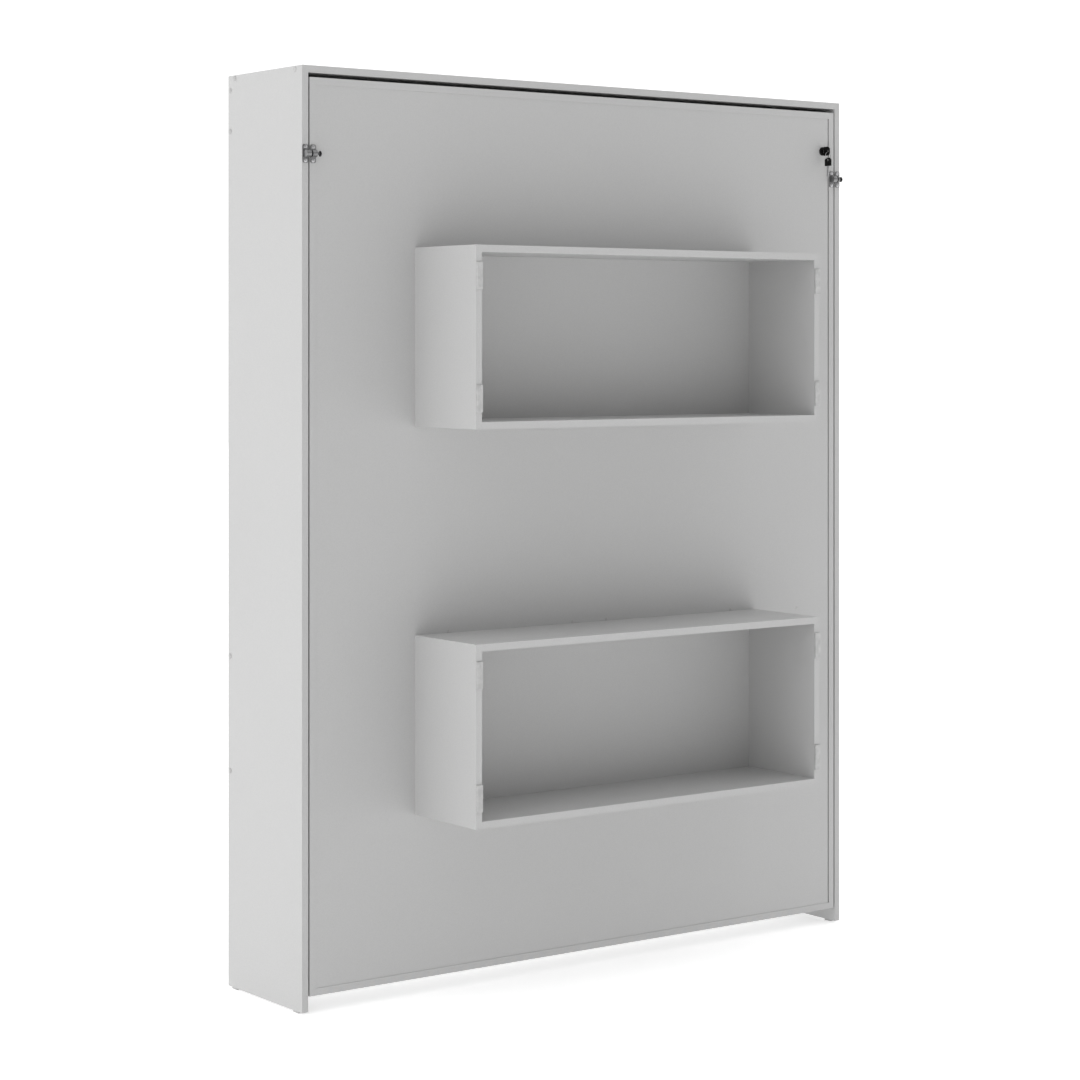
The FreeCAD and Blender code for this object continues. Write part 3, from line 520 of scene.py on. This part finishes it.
def halfRound(bm, start, stop, centre, radius, back):
    # the raised channel that the bolt runs in, with its flat side on the plate
    length = stop - start
    edge = latch["edge"]
    profile = [(0.0, 0.0), (0.0, radius - edge), (edge, radius)]
    profile += [(length - edge, radius), (length, radius - edge), (length, 0.0)]
    verts = turned(bm, profile, "x", (start, centre.y, centre.z), 40)
    geom = verts + list({e for v in verts for e in v.link_edges})
    geom += list({f for v in verts for f in v.link_faces})
    cut = bmesh.ops.bisect_plane(
        bm, geom=geom, plane_co=(0, back, 0), plane_no=(0, 1, 0), clear_outer=True, dist=1e-7
    )
    rim = [e for e in cut["geom_cut"] if isinstance(e, bmesh.types.BMEdge)]
    bmesh.ops.holes_fill(bm, edges=rim, sides=0)


def addLatchPart(name, node, body, barrel, boreFrom, boreTo, bore):
    low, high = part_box(node)
    plateFront = high.y - latch["plateThick"]
    middleZ = (low.z + high.z) / 2
    bm = bmesh.new()
    plateLow = Vector((low.x, plateFront, low.z))
    plateHigh = Vector((high.x, high.y, high.z))
    if barrel[0] < low.x + 1e-5:
        plateLow.x = barrel[0] + latch["barrelInset"]
    if barrel[1] > high.x - 1e-5:
        plateHigh.x = barrel[1] - latch["barrelInset"]
    latchPlate(bm, plateLow, plateHigh)
    radius = latch["barrelRadius"]
    axis = Vector((0, low.y + radius, middleZ))
    halfRound(bm, barrel[0], barrel[1], axis, radius, plateFront + 0.0002)
    boxIn(
        bm, (barrel[0] + 0.0002, axis.y, middleZ - radius + 0.0001),
        (barrel[1] - 0.0002, plateFront + 0.0004, middleZ + radius - 0.0001), 0.0003, 2,
    )
    obj = addPiece(name, bm, body, "nickel", [node])
    reach = (boreTo - boreFrom) / 2
    cutHole(obj, ((boreFrom + boreTo) / 2, axis.y, middleZ), "x", bore, reach)


def addLatchBody(name, node, body, start, long):
    # the barrel's bore runs right through
    stop = start + long
    over = latch["over"]
    addLatchPart(name, node, body, (start, stop), start - over, stop + over, latch["bodyBore"])


def addLatchKeeper(name, node, body, face):
    # the barrel's bore is blind, and open towards the latch
    start = face - latch["keeperBarrel"]
    stop = face + latch["keeperEnd"]
    blind = face - latch["keeperDeep"]
    over = latch["over"]
    addLatchPart(name, node, body, (start, stop), blind, stop + over, latch["keeperBore"])


def addLatchScrews(name, node, body):
    # domed screw heads on straight shanks
    bm = bmesh.new()
    for low, high in islands(node):
        x = (low.x + high.x) / 2
        z = (low.z + high.z) / 2
        radius = latch["headRadius"]
        flat = latch["headFlat"]
        profile = [(0.0, 0.0), (0.0, flat)]
        for k in range(6):
            a = k / 5 * pi / 2
            sunk = latch["headHigh"] * (1 - cos(a)) * 0.8 + 0.0001
            profile.append((sunk, flat + (radius - flat) * sin(a)))
        profile += [(latch["headHigh"], radius), (latch["headHigh"], latch["holeRadius"])]
        profile += [(high.y - low.y - 0.002, latch["holeRadius"]), (high.y - low.y, 0.0)]
        turned(bm, profile, "y", (x, low.y, z), 24)
    addPiece(name, bm, body, "zinc", [node], 30.0)


def addLatchBolt(name, node, body):
    # a round bolt with a domed tip, and a thin turned knob on its right-hand end
    low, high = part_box(node)
    centre = (low.x, (low.y + high.y) / 2, (low.z + high.z) / 2)
    length = high.x - low.x
    shaft = latch["shaft"]
    knob = latch["knob"]
    thick = latch["knobThick"]
    neck = length - thick + 0.0003
    profile = [(0.0, 0.0), (0.0002, shaft * 0.55), (0.0008, shaft * 0.9), (0.0016, shaft)]
    profile += [(neck, shaft), (neck, knob * 0.84), (length - thick * 0.72, knob)]
    profile += [(length - thick * 0.35, knob), (length - thick * 0.1, knob * 0.9)]
    profile += [(length - 0.0001, knob * 0.5), (length, 0.0)]
    bm = bmesh.new()
    turned(bm, profile, "x", centre, 36)
    addPiece(name, bm, body, "darkNickel", [node], 40.0)


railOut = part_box("bed_rail_left")[0].x
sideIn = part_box("side_panel_right")[0].x
addLatchBody("latchBodyLeft", "latch_body_left", "bed", railOut, latch["leftBarrel"])
addLatchKeeper("latchKeeperLeft", "latch_keeper_left", "cabinet", -sideIn)
addLatchBody("latchBodyRight", "latch_body_right", "cabinet", sideIn, latch["rightBarrel"])
addLatchKeeper("latchKeeperRight", "latch_keeper_right", "bed", -railOut)
addLatchScrews("latchScrewsCabinet", "latch_screws_cabinet", "cabinet")
addLatchScrews("latchScrewsBed", "latch_screws_bed", "bed")
addLatchBolt("latchBoltLeft", "latch_bolt_left", "left_bolt")
addLatchBolt("latchBoltRight", "latch_bolt_right", "right_bolt")
print("latches made")

lock = {
    "rosetteDeep": 0.004,
    "boardDeep": 0.016,
    "sleeve": 0.0089,
    "bore": 0.00605,
    "rosetteLip": 0.0016,
    "bowCorner": 0.005,
    "bowHole": 0.0035,
    "bowHoleEdge": 0.006,
    "bowEdge": 0.0007,
    "ribDeep": 0.0003,
    "ribHalf": 0.0007,
    "ribPitch": 0.0040,
    "ribLong": 0.48,      # of the head's length
    "ribCount": 5,
    "teeth": (0.0012, 0.0024, 0.0008, 0.0020, 0.0014),
}
ring = {"thin": 0.48, "turns": 1.9, "points": 60, "start": 1.2}


def addRosette():
    low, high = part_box("lock_barrel")
    centre = (low + high) / 2
    wide = (high.x - low.x) / 2
    deep = lock["rosetteDeep"]
    end = deep + lock["boardDeep"]
    lip = lock["rosetteLip"]
    sleeve = lock["sleeve"]
    bore = lock["bore"]
    profile = [(end, bore), (0.0, bore), (0.0, bore + 0.0006), (0.0005, bore + 0.0012)]
    profile += [(0.0005, wide * 0.74), (0.0, wide * 0.78)]
    for k in range(7):
        a = k / 6 * pi / 2
        profile.append((lip * (1 - cos(a)), wide - lip * (1 - sin(a))))
    profile += [(deep, wide), (deep, sleeve), (end, sleeve), (end, bore)]
    bm = bmesh.new()
    turned(bm, profile, "y", (centre.x, low.y, centre.z), 48)
    addPiece("lockRosette", bm, "bed", "blackLacquer", ["lock_barrel"], 30.0)


def addPlug():
    low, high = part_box("lock_plug")
    centre = (low + high) / 2
    radius = (high.x - low.x) / 2
    bm = bmesh.new()
    turned(bm, disc(0.0, high.y - low.y, radius, 0.0006), "y", (centre.x, low.y, centre.z), 40)
    addPiece("lockPlug", bm, "lock_core", "blackLacquer", ["lock_plug"], 30.0)


def bowPlate(bm, low, high, far, along):
    # a moulded plate with two corners cut off at its far end
    size = high - low
    made = bmesh.ops.create_cube(bm, size=1.0)
    bmesh.ops.scale(bm, vec=size, verts=made["verts"])
    bmesh.ops.translate(bm, vec=(low + high) / 2, verts=made["verts"])
    farEdges = [
        e for e in {e for v in made["verts"] for e in v.link_edges}
        if all(abs(v.co[along] - far) < 1e-6 for v in e.verts)
        and abs(e.verts[0].co.x - e.verts[1].co.x) > 1e-5
    ]
    bmesh.ops.bevel(
        bm, geom=farEdges, offset=lock["bowCorner"], affect="EDGES", segments=1, profile=0.5,
        material=-1,
    )
    outline = [e for e in bm.edges if e.calc_face_angle(0) > 0.3]
    rounded(bm, outline, lock["bowEdge"], 3)


def addBow(name, node, body, far, along, hole):
    # a key head with grip ribs on both faces and a hole for the ring
    low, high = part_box(node)
    bm = bmesh.new()
    bowPlate(bm, low, high, far, along)
    across = 3 - along      # the other of Y and Z
    middle = (low[across] + high[across]) / 2
    reach = high[along] - low[along]
    for side in (low.x, high.x):
        for k in range(lock["ribCount"]):
            offset = (k - (lock["ribCount"] - 1) / 2) * lock["ribPitch"]
            a = Vector((side - lock["ribDeep"], 0.0, 0.0))
            b = Vector((side + lock["ribDeep"], 0.0, 0.0))
            a[across] = middle + offset - lock["ribHalf"]
            b[across] = middle + offset + lock["ribHalf"]
            near = low[along] if abs(far - high[along]) < 1e-6 else high[along]
            sign = 1 if far > near else -1
            ends = sorted((near + sign * 0.002, near + sign * (reach * lock["ribLong"])))
            a[along], b[along] = ends
            boxIn(bm, a, b, 0.00025, 2)
    obj = addPiece(name, bm, body, "blackPlastic", [node], 30.0)
    cutHole(obj, hole, "x", lock["bowHole"], 0.004)


def addBlade(name, node, body, down):
    # a flat steel blade with a row of cuts along one edge
    low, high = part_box(node)
    axis = 2 if down else 1
    other = 1 if down else 2
    bm = bmesh.new()
    size = high - low
    steps = 20
    length = size[axis]
    top = []
    bottom = []
    for k in range(steps + 1):
        t = k / steps
        depth = 0.0
        if 0.25 < t < 0.95:
            teeth = lock["teeth"]
            depth = teeth[int((t - 0.25) / 0.7 * len(teeth)) % len(teeth)]
        if t > 0.96:
            depth = size[other] * 0.35
        along = high[axis] - t * length if down else low[axis] + t * length
        for row, place in ((top, high[other]), (bottom, low[other] + depth)):
            co = Vector((low.x, 0.0, 0.0))
            co[axis] = along
            co[other] = place if row is bottom or t < 0.96 else place - size[other] * 0.3
            row.append(bm.verts.new(co))
    faces = [
        bm.faces.new((top[k], top[k + 1], bottom[k + 1], bottom[k])) for k in range(steps)
    ]
    made = bmesh.ops.extrude_face_region(bm, geom=faces)
    moved = [g for g in made["geom"] if isinstance(g, bmesh.types.BMVert)]
    bmesh.ops.translate(bm, vec=(size.x, 0, 0), verts=moved)
    addPiece(name, bm, body, "zinc", [node], 20.0)


def addRing():
    # a split ring of two close turns of spring wire
    low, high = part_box("key_ring")
    centre = (low + high) / 2
    outer = (high.x - low.x) / 2
    wire = (high.y - low.y) / 2
    thin = wire * ring["thin"]
    radius = outer - wire
    curve = bpy.data.curves.new("keyRing", "CURVE")
    curve.dimensions = "3D"
    spline = curve.splines.new("NURBS")
    count = ring["points"]
    spline.points.add(count)
    for k in range(count + 1):
        t = k / count
        a = t * ring["turns"] * 2 * pi + ring["start"]
        shift = (t - 0.5) * 2 * (wire - thin)
        spline.points[k].co = (
            centre.x + radius * cos(a), centre.y + shift, centre.z + radius * sin(a), 1.0
        )
    spline.order_u = 4
    spline.use_endpoint_u = True
    curve.bevel_depth = thin
    curve.bevel_resolution = 4
    curve.use_fill_caps = True
    curve.resolution_u = 4
    obj = bpy.data.objects.new("keyRingCurve", curve)
    scene.collection.objects.link(obj)
    bpy.context.view_layer.update()
    bm = bmesh.new()
    bm.from_mesh(evaluated(obj))
    bpy.data.objects.remove(obj)
    addPiece("keyRing", bm, "key_bunch", "zinc", ["key_ring"], 60.0)


bowLow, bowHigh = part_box("key_head")
spareLow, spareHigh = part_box("spare_key_head")
addRosette()
addPlug()
addBow(
    "keyHead", "key_head", "lock_core", bowLow.y, 1,
    ((bowLow.x + bowHigh.x) / 2, bowLow.y + lock["bowHoleEdge"], (bowLow.z + bowHigh.z) / 2),
)
addBow(
    "spareKeyHead", "spare_key_head", "key_bunch", spareHigh.z, 2,
    ((spareLow.x + spareHigh.x) / 2, (spareLow.y + spareHigh.y) / 2,
     spareHigh.z - lock["bowHoleEdge"]),
)
addBlade("keyBlade", "key_blade", "lock_core", False)
addBlade("spareKeyBlade", "spare_key_blade", "key_bunch", True)
addRing()
print("lock and keys made")

strut = {
    "eyeThick": 0.005, "rim": 0.0012, "eyeRadius": 0.010, "eyeHole": 0.0042, "rodHole": 0.0041,
    "neck": 0.014, "bore": 0.0042, "rod": 0.004, "wall": 0.006,
}


def addStrut(side):
    body = side + "_cylinder"
    low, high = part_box("strut_cylinder_" + side)
    x = (low.x + high.x) / 2
    y = (low.y + high.y) / 2
    radius = (high.x - low.x) / 2
    eyeZ = high.z - strut["eyeRadius"]
    tubeTop = eyeZ - strut["neck"]
    length = tubeTop - low.z
    bore = strut["bore"]
    boreDeep = length - strut["wall"]
    profile = [(boreDeep, bore), (0.0, bore), (0.0, radius * 0.62), (0.0006, radius * 0.72)]
    profile += [(0.004, radius * 0.80), (0.005, radius * 0.96), (0.0065, radius)]
    profile += [(length - 0.010, radius), (length - 0.006, radius * 0.93)]
    profile += [(length - 0.002, radius * 0.66), (length, radius * 0.5), (length, 0.0)]
    bm = bmesh.new()
    turned(bm, profile[::-1] + [(boreDeep, 0.0)], "z", (x, y, low.z), 36)
    addPiece(
        "strutTube_" + side, bm, body, "strutBlack", ["strut_cylinder_" + side]
    )
    bm = bmesh.new()
    eyeEnd(bm, x, y, eyeZ, strut["eyeHole"])
    neck = [(0.0, 0.0), (0.0, 0.0035), (0.008, 0.0035), (0.008, 0.0)]
    turned(bm, neck, "z", (x, y, tubeTop - 0.0005), 24)
    addPiece("strutTopEye_" + side, bm, body, "zinc")
    low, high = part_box("strut_rod_" + side)
    lowEyeZ = low.z + strut["eyeRadius"]
    rod = strut["rod"]
    start = lowEyeZ + 0.0075
    bm = bmesh.new()
    eyeEnd(bm, x, y, lowEyeZ, strut["rodHole"])
    length = high.z - start
    profile = [(0.0, 0.0), (0.0, rod * 0.82), (0.004, rod * 0.82), (0.0045, rod)]
    profile += [(length - 0.001, rod), (length, rod * 0.7), (length, 0.0)]
    turned(bm, profile, "z", (x, y, start), 32)
    addPiece(
        "strutRod_" + side, bm, side + "_rod", "chrome", ["strut_rod_" + side]
    )


def eyeEnd(bm, x, y, z, hole):
    # a flat ring with softened rims, turned about the stud's axis
    half = strut["eyeThick"] / 2
    outer = strut["eyeRadius"]
    rim = strut["rim"]
    profile = [
        (-half + rim, hole), (-half, hole + rim * 0.6), (-half, outer - rim), (-half + rim, outer),
        (half - rim, outer), (half, outer - rim), (half, hole + rim * 0.6), (half - rim, hole),
        (-half + rim, hole),
    ]
    turned(bm, profile, "x", (x, y, z), 36)


addStrut("left")
addStrut("right")
print("gas struts made")

slat = {"edge": 0.0035}


def addSlats():
    # sprung slats with rounded long edges
    bm = bmesh.new()
    for low, high in islands("slats"):
        made = bmesh.ops.create_cube(bm, size=1.0)
        verts = made["verts"]
        bmesh.ops.scale(bm, vec=(high - low), verts=verts)
        bmesh.ops.translate(bm, vec=(low + high) / 2, verts=verts)
        edges = list({e for v in verts for e in v.link_edges})
        longOnes = [e for e in edges if abs(e.verts[0].co.x - e.verts[1].co.x) > 0.5]
        rounded(bm, longOnes, slat["edge"], 4)
    addPiece("bedSlats", bm, "bed", "birch", ["slats"], 45.0)


addSlats()
print("slats made")

mattress = {
    "voxel": 0.012,
    "quickVoxel": 0.024,
    "corner": 0.022,
    "band": 0.018,
    "frames": 20,
    "pressure": 4.0,
    "cap": 0.006,
    "inset": 0.004,
    "piping": 0.0035,
    "pipingDrop": 0.0075,
    "pipingCorner": 0.020,
    "tuftPitch": 0.20,
    "quiltDeep": 0.0050,
    "puffDeep": 0.0030,
    "grooveWide": 0.20,
    "plainRim": 0.045,
    "plainFade": 0.05,
    "pinchReach": 0.05,
    "pinchDeep": 0.0022,
    "fabricMass": 0.3,
    "stiffness": 25,
    "bending": 2,
    "fill": 0.9,
}


def settle(obj, mesh):
    old = obj.data
    obj.modifiers.clear()
    obj.data = mesh
    bpy.data.meshes.remove(old)


def inflate(obj):
    # a short pressure run that lets the cover swell between its edges
    start = [v.co.copy() for v in obj.data.vertices]
    cloth = obj.modifiers.new("cloth", "CLOTH")
    cloth.settings.quality = 4
    cloth.settings.mass = mattress["fabricMass"]
    cloth.settings.tension_stiffness = mattress["stiffness"]
    cloth.settings.compression_stiffness = mattress["stiffness"]
    cloth.settings.bending_stiffness = mattress["bending"]
    cloth.settings.use_pressure = True
    cloth.settings.uniform_pressure_force = mattress["pressure"]
    cloth.settings.effector_weights.gravity = 0
    cloth.collision_settings.use_collision = False
    for number in range(1, mattress["frames"] + 1):
        scene.frame_set(number)
    swollen = evaluated(obj)
    for vertex, first in zip(swollen.vertices, start):
        move = vertex.co - first
        if move.length > mattress["cap"]:
            vertex.co = first + move * (mattress["cap"] / move.length)
    settle(obj, swollen)
    scene.frame_set(1)


def quilt(mesh, low, high, straps):
    # sewn diamonds on the sleeping face, and a slight pinch under each strap
    pitch = mattress["tuftPitch"]
    wide = mattress["grooveWide"]
    pinch = mattress["pinchReach"]
    for vertex in mesh.vertices:
        co = vertex.co
        inner = min(co.x - low.x, high.x - co.x, co.z - low.z, high.z - co.z)
        ease = min(1.0, max(0.0, (inner - mattress["plainRim"]) / mattress["plainFade"]))
        first = abs(((co.x + co.z) / pitch) % 1.0 - 0.5) * 2
        second = abs(((co.x - co.z) / pitch) % 1.0 - 0.5) * 2
        near = max(first, second)
        groove = max(0.0, (near - (1 - wide)) / wide) ** 1.6
        puff = (1 - first) * (1 - second)
        toBack = 1.0 if co.y > (low.y + high.y) / 2 else -1.0
        sunk = mattress["quiltDeep"] * groove + mattress["puffDeep"] * (1 - puff)
        co.y -= toBack * ease * sunk
        for strapLow, strapHigh in straps:
            reach = max(strapLow.z - co.z, co.z - strapHigh.z, 0.0)
            if reach < pinch and toBack > 0:
                co.y -= mattress["pinchDeep"] * cos(reach / pinch * pi / 2) ** 2
        co.x = min(max(co.x, low.x), high.x)
        co.y = min(max(co.y, low.y), high.y)
        co.z = min(max(co.z, low.z), high.z)


def addMattress():
    low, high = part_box("mattress")
    inset = Vector((mattress["inset"],) * 3)
    bm = bmesh.new()
    boxIn(bm, low + inset, high - inset)
    rounded(bm, list(bm.edges), mattress["corner"], 4)
    bmesh.ops.triangulate(bm, faces=bm.faces)
    bmesh.ops.recalc_face_normals(bm, faces=bm.faces)
    mesh = bpy.data.meshes.new("mattress")
    bm.to_mesh(mesh)
    bm.free()
    obj = bpy.data.objects.new("mattressPad", mesh)
    scene.collection.objects.link(obj)
    remesh = obj.modifiers.new("remesh", "REMESH")
    remesh.mode = "VOXEL"
    remesh.voxel_size = mattress["voxel"]
    bpy.context.view_layer.update()
    settle(obj, evaluated(obj))
    inflate(obj)
    divide = obj.modifiers.new("divide", "SUBSURF")
    divide.levels = 1
    divide.render_levels = 1
    bpy.context.view_layer.update()
    settle(obj, evaluated(obj))
    quilt(obj.data, low, high, islands("mattress_straps"))
    obj.data.materials.clear()
    obj.data.materials.append(finishes["ticking"])
    obj.data.materials.append(finishes["border"])
    for polygon in obj.data.polygons:
        polygon.use_smooth = True
        centre = polygon.center
        onFace = min(centre.y - low.y, high.y - centre.y) < mattress["band"]
        polygon.material_index = 0 if onFace else 1
    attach(obj, "bed")
    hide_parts("mattress")


def addPiping():
    # a round welt sewn along both rims of the side band
    low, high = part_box("mattress")
    radius = mattress["piping"]
    drop = mattress["pipingDrop"]
    corner = mattress["pipingCorner"]
    for name, y in (("pipingFront", low.y + drop + radius), ("pipingBack", high.y - drop - radius)):
        x = high.x - drop + 0.001
        bottom = low.z + drop - 0.001
        top = high.z - drop + 0.001
        curve = bpy.data.curves.new(name, "CURVE")
        curve.dimensions = "3D"
        spline = curve.splines.new("POLY")
        points = []
        for cx, cz, first in (
            (x - corner, top - corner, 0.0), (corner - x, top - corner, pi / 2),
            (corner - x, bottom + corner, pi), (x - corner, bottom + corner, 1.5 * pi),
        ):
            for k in range(7):
                a = first + k / 6 * pi / 2
                points.append((cx + corner * cos(a), y, cz + corner * sin(a), 1.0))
        spline.points.add(len(points) - 1)
        for point, co in zip(spline.points, points):
            point.co = co
        spline.use_cyclic_u = True
        curve.bevel_depth = radius
        curve.bevel_resolution = 3
        obj = bpy.data.objects.new(name + "Line", curve)
        scene.collection.objects.link(obj)
        bpy.context.view_layer.update()
        bm = bmesh.new()
        bm.from_mesh(evaluated(obj))
        bpy.data.objects.remove(obj)
        addPiece(name, bm, "bed", "border", (), 60.0)


addMattress()
addPiping()
print("mattress made")

strap = {"thick": 0.002, "edge": 0.0006, "bend": 0.010}
buckle = {"bar": 0.009, "edge": 0.0018, "middleEdge": 0.0016, "lap": 0.002}
stitch = {"wide": 0.0007, "long": 0.0040, "margin": 0.012, "count": 8, "rows": (0.045, 0.060)}


def addStraps():
    # webbing that runs over the mattress and turns down both its sides in one piece
    thick = strap["thick"]
    buckles = islands("strap_buckles")
    for number, (low, high) in enumerate(islands("mattress_straps")):
        bend = strap["bend"]
        x = low.x + thick / 2
        y = high.y - thick / 2
        outline = [(x, low.y), (x, high.y - bend)]
        for k in range(1, 8):
            a = k / 8 * pi / 2
            outline.append((x + bend * (1 - cos(a)), y - bend * (1 - sin(a))))
        outline.append((x + bend, y))
        outline += [(-x, y) for x, y in reversed(outline)]
        bm = bmesh.new()
        row = [bm.verts.new((x, y, low.z + strap["edge"])) for x, y in outline]
        edges = [bm.edges.new(pair) for pair in zip(row, row[1:])]
        made = bmesh.ops.extrude_edge_only(bm, edges=edges)
        moved = [g for g in made["geom"] if isinstance(g, bmesh.types.BMVert)]
        bmesh.ops.translate(bm, vec=(0, 0, high.z - low.z - 2 * strap["edge"]), verts=moved)
        bmesh.ops.recalc_face_normals(bm, faces=bm.faces)
        mesh = bpy.data.meshes.new("strapFlat")
        bm.to_mesh(mesh)
        bm.free()
        flat = bpy.data.objects.new("strapFlat", mesh)
        scene.collection.objects.link(flat)
        solid = flat.modifiers.new("solid", "SOLIDIFY")
        solid.thickness = thick - 0.0003
        solid.offset = 0.0
        edge = flat.modifiers.new("edge", "BEVEL")
        edge.width = strap["edge"]
        edge.segments = 2
        edge.limit_method = "ANGLE"
        edge.angle_limit = radians(60)
        bpy.context.view_layer.update()
        bm = bmesh.new()
        bm.from_mesh(evaluated(flat))
        bpy.data.objects.remove(flat)
        name = ("strapLower", "strapUpper")[number]
        stands = ["mattress_straps"] if number == 0 else ()
        addPiece(name, bm, "bed", "webbing", stands, 50.0)
        addBuckle(name + "Buckle", *buckles[number])
    addStitches()


def addBuckle(name, low, high):
    # a moulded three-bar slide with rounded frame bars
    bm = bmesh.new()
    thick = high.y - low.y
    bar = buckle["bar"]
    edge = buckle["edge"]
    bottom = low.z + buckle["lap"]
    top = high.z - buckle["lap"]
    boxIn(bm, low, (high.x, high.y, low.z + bar), edge)
    boxIn(bm, (low.x, low.y, high.z - bar), high, edge)
    boxIn(bm, (low.x, low.y, bottom), (low.x + bar, high.y, top), edge)
    boxIn(bm, (high.x - bar, low.y, bottom), (high.x, high.y, top), edge)
    middle = (low.x + high.x) / 2
    near = (middle - bar / 2, low.y + thick * 0.1, bottom)
    far = (middle + bar / 2, high.y - 0.0003, top)
    boxIn(bm, near, far, buckle["middleEdge"])
    stands = ["strap_buckles"] if name.startswith("strapLower") else ()
    addPiece(name, bm, "bed", "blackPlastic", stands, 30.0)


def addStitches():
    # a box of bartack stitches on both sides of each buckle
    bm = bmesh.new()
    for low, high in islands("strap_buckles"):
        y = low.y - 0.0001
        wide = stitch["wide"] / 2
        long = stitch["long"] / 2
        pitch = (high.z - low.z - 2 * stitch["margin"]) / (stitch["count"] - 1)
        for side in (-1, 1):
            for row in stitch["rows"]:
                x = (low.x + high.x) / 2 + side * row
                for k in range(stitch["count"]):
                    z = low.z + stitch["margin"] + k * pitch
                    near = (x - wide, y - 0.0002, z - long)
                    far = (x + wide, y + 0.0004, z + long)
                    boxIn(bm, near, far, 0.0002, 1)
    addPiece("strapStitches", bm, "bed", "felt", (), 40.0)


addStraps()
print("straps made")

studio = {
    "floor": (0.90, 0.90, 0.90),
    "floorGlow": 0.43,
    "backWorld": 1.20,
    "frontWorld": 0.28,
    "fade": (-1.0, -0.15),
    "sideLight": 9.5,
    "sidePlace": (-4.5, -0.5, 2.2),
    "sideAim": (-0.8, 0.1, 1.1),
    "sideSize": 3.0,
}


def addFloor():
    bm = bmesh.new()
    bmesh.ops.create_grid(bm, x_segments=1, y_segments=1, size=30.0)
    mesh = bpy.data.meshes.new("floor")
    bm.to_mesh(mesh)
    bm.free()
    s = Shader("floorPaint")
    soft = s.noise(s.coords, 2.0, 2.0)
    tone = s.colours(soft, studio["floor"], (0.95, 0.95, 0.95))
    s.dress(
        Base_Color=tone, Roughness=0.9, Specular_IOR_Level=0.1,
        Emission_Color=(1.0, 1.0, 1.0, 1.0), Emission_Strength=studio["floorGlow"],
    )
    mesh.materials.append(s.material)
    obj = bpy.data.objects.new("floor", mesh)
    scene.collection.objects.link(obj)


def addLight(name, place, target, size, power):
    data = bpy.data.lights.new(name, "AREA")
    data.shape = "SQUARE"
    data.size = size
    data.energy = power
    obj = bpy.data.objects.new(name, data)
    obj.location = place
    aim = Vector(target) - Vector(place)
    obj.rotation_euler = aim.to_track_quat("-Z", "Y").to_euler()
    scene.collection.objects.link(obj)


def addStudio():
    addFloor()
    world = bpy.data.worlds.new("studio")
    world.use_nodes = True
    tree = world.node_tree
    background = tree.nodes["Background"]
    # white behind and at the sides, dimmer from straight in front, so that shelves fall into shade
    way = tree.nodes.new("ShaderNodeTexCoord")
    parts = tree.nodes.new("ShaderNodeSeparateXYZ")
    fall = tree.nodes.new("ShaderNodeMapRange")
    fall.interpolation_type = "SMOOTHSTEP"
    fall.inputs["From Min"].default_value = studio["fade"][0]
    fall.inputs["From Max"].default_value = studio["fade"][1]
    fall.inputs["To Min"].default_value = studio["frontWorld"]
    fall.inputs["To Max"].default_value = studio["backWorld"]
    tree.links.new(way.outputs["Generated"], parts.inputs[0])
    tree.links.new(parts.outputs["Y"], fall.inputs["Value"])
    tree.links.new(fall.outputs["Result"], background.inputs["Strength"])
    background.inputs["Color"].default_value = (1.0, 1.0, 1.0, 1.0)
    scene.world = world
    addLight(
        "sideSoftbox", studio["sidePlace"], studio["sideAim"], studio["sideSize"],
        studio["sideLight"],
    )
    scene.view_settings.view_transform = "Standard"


addStudio()
print("studio made")

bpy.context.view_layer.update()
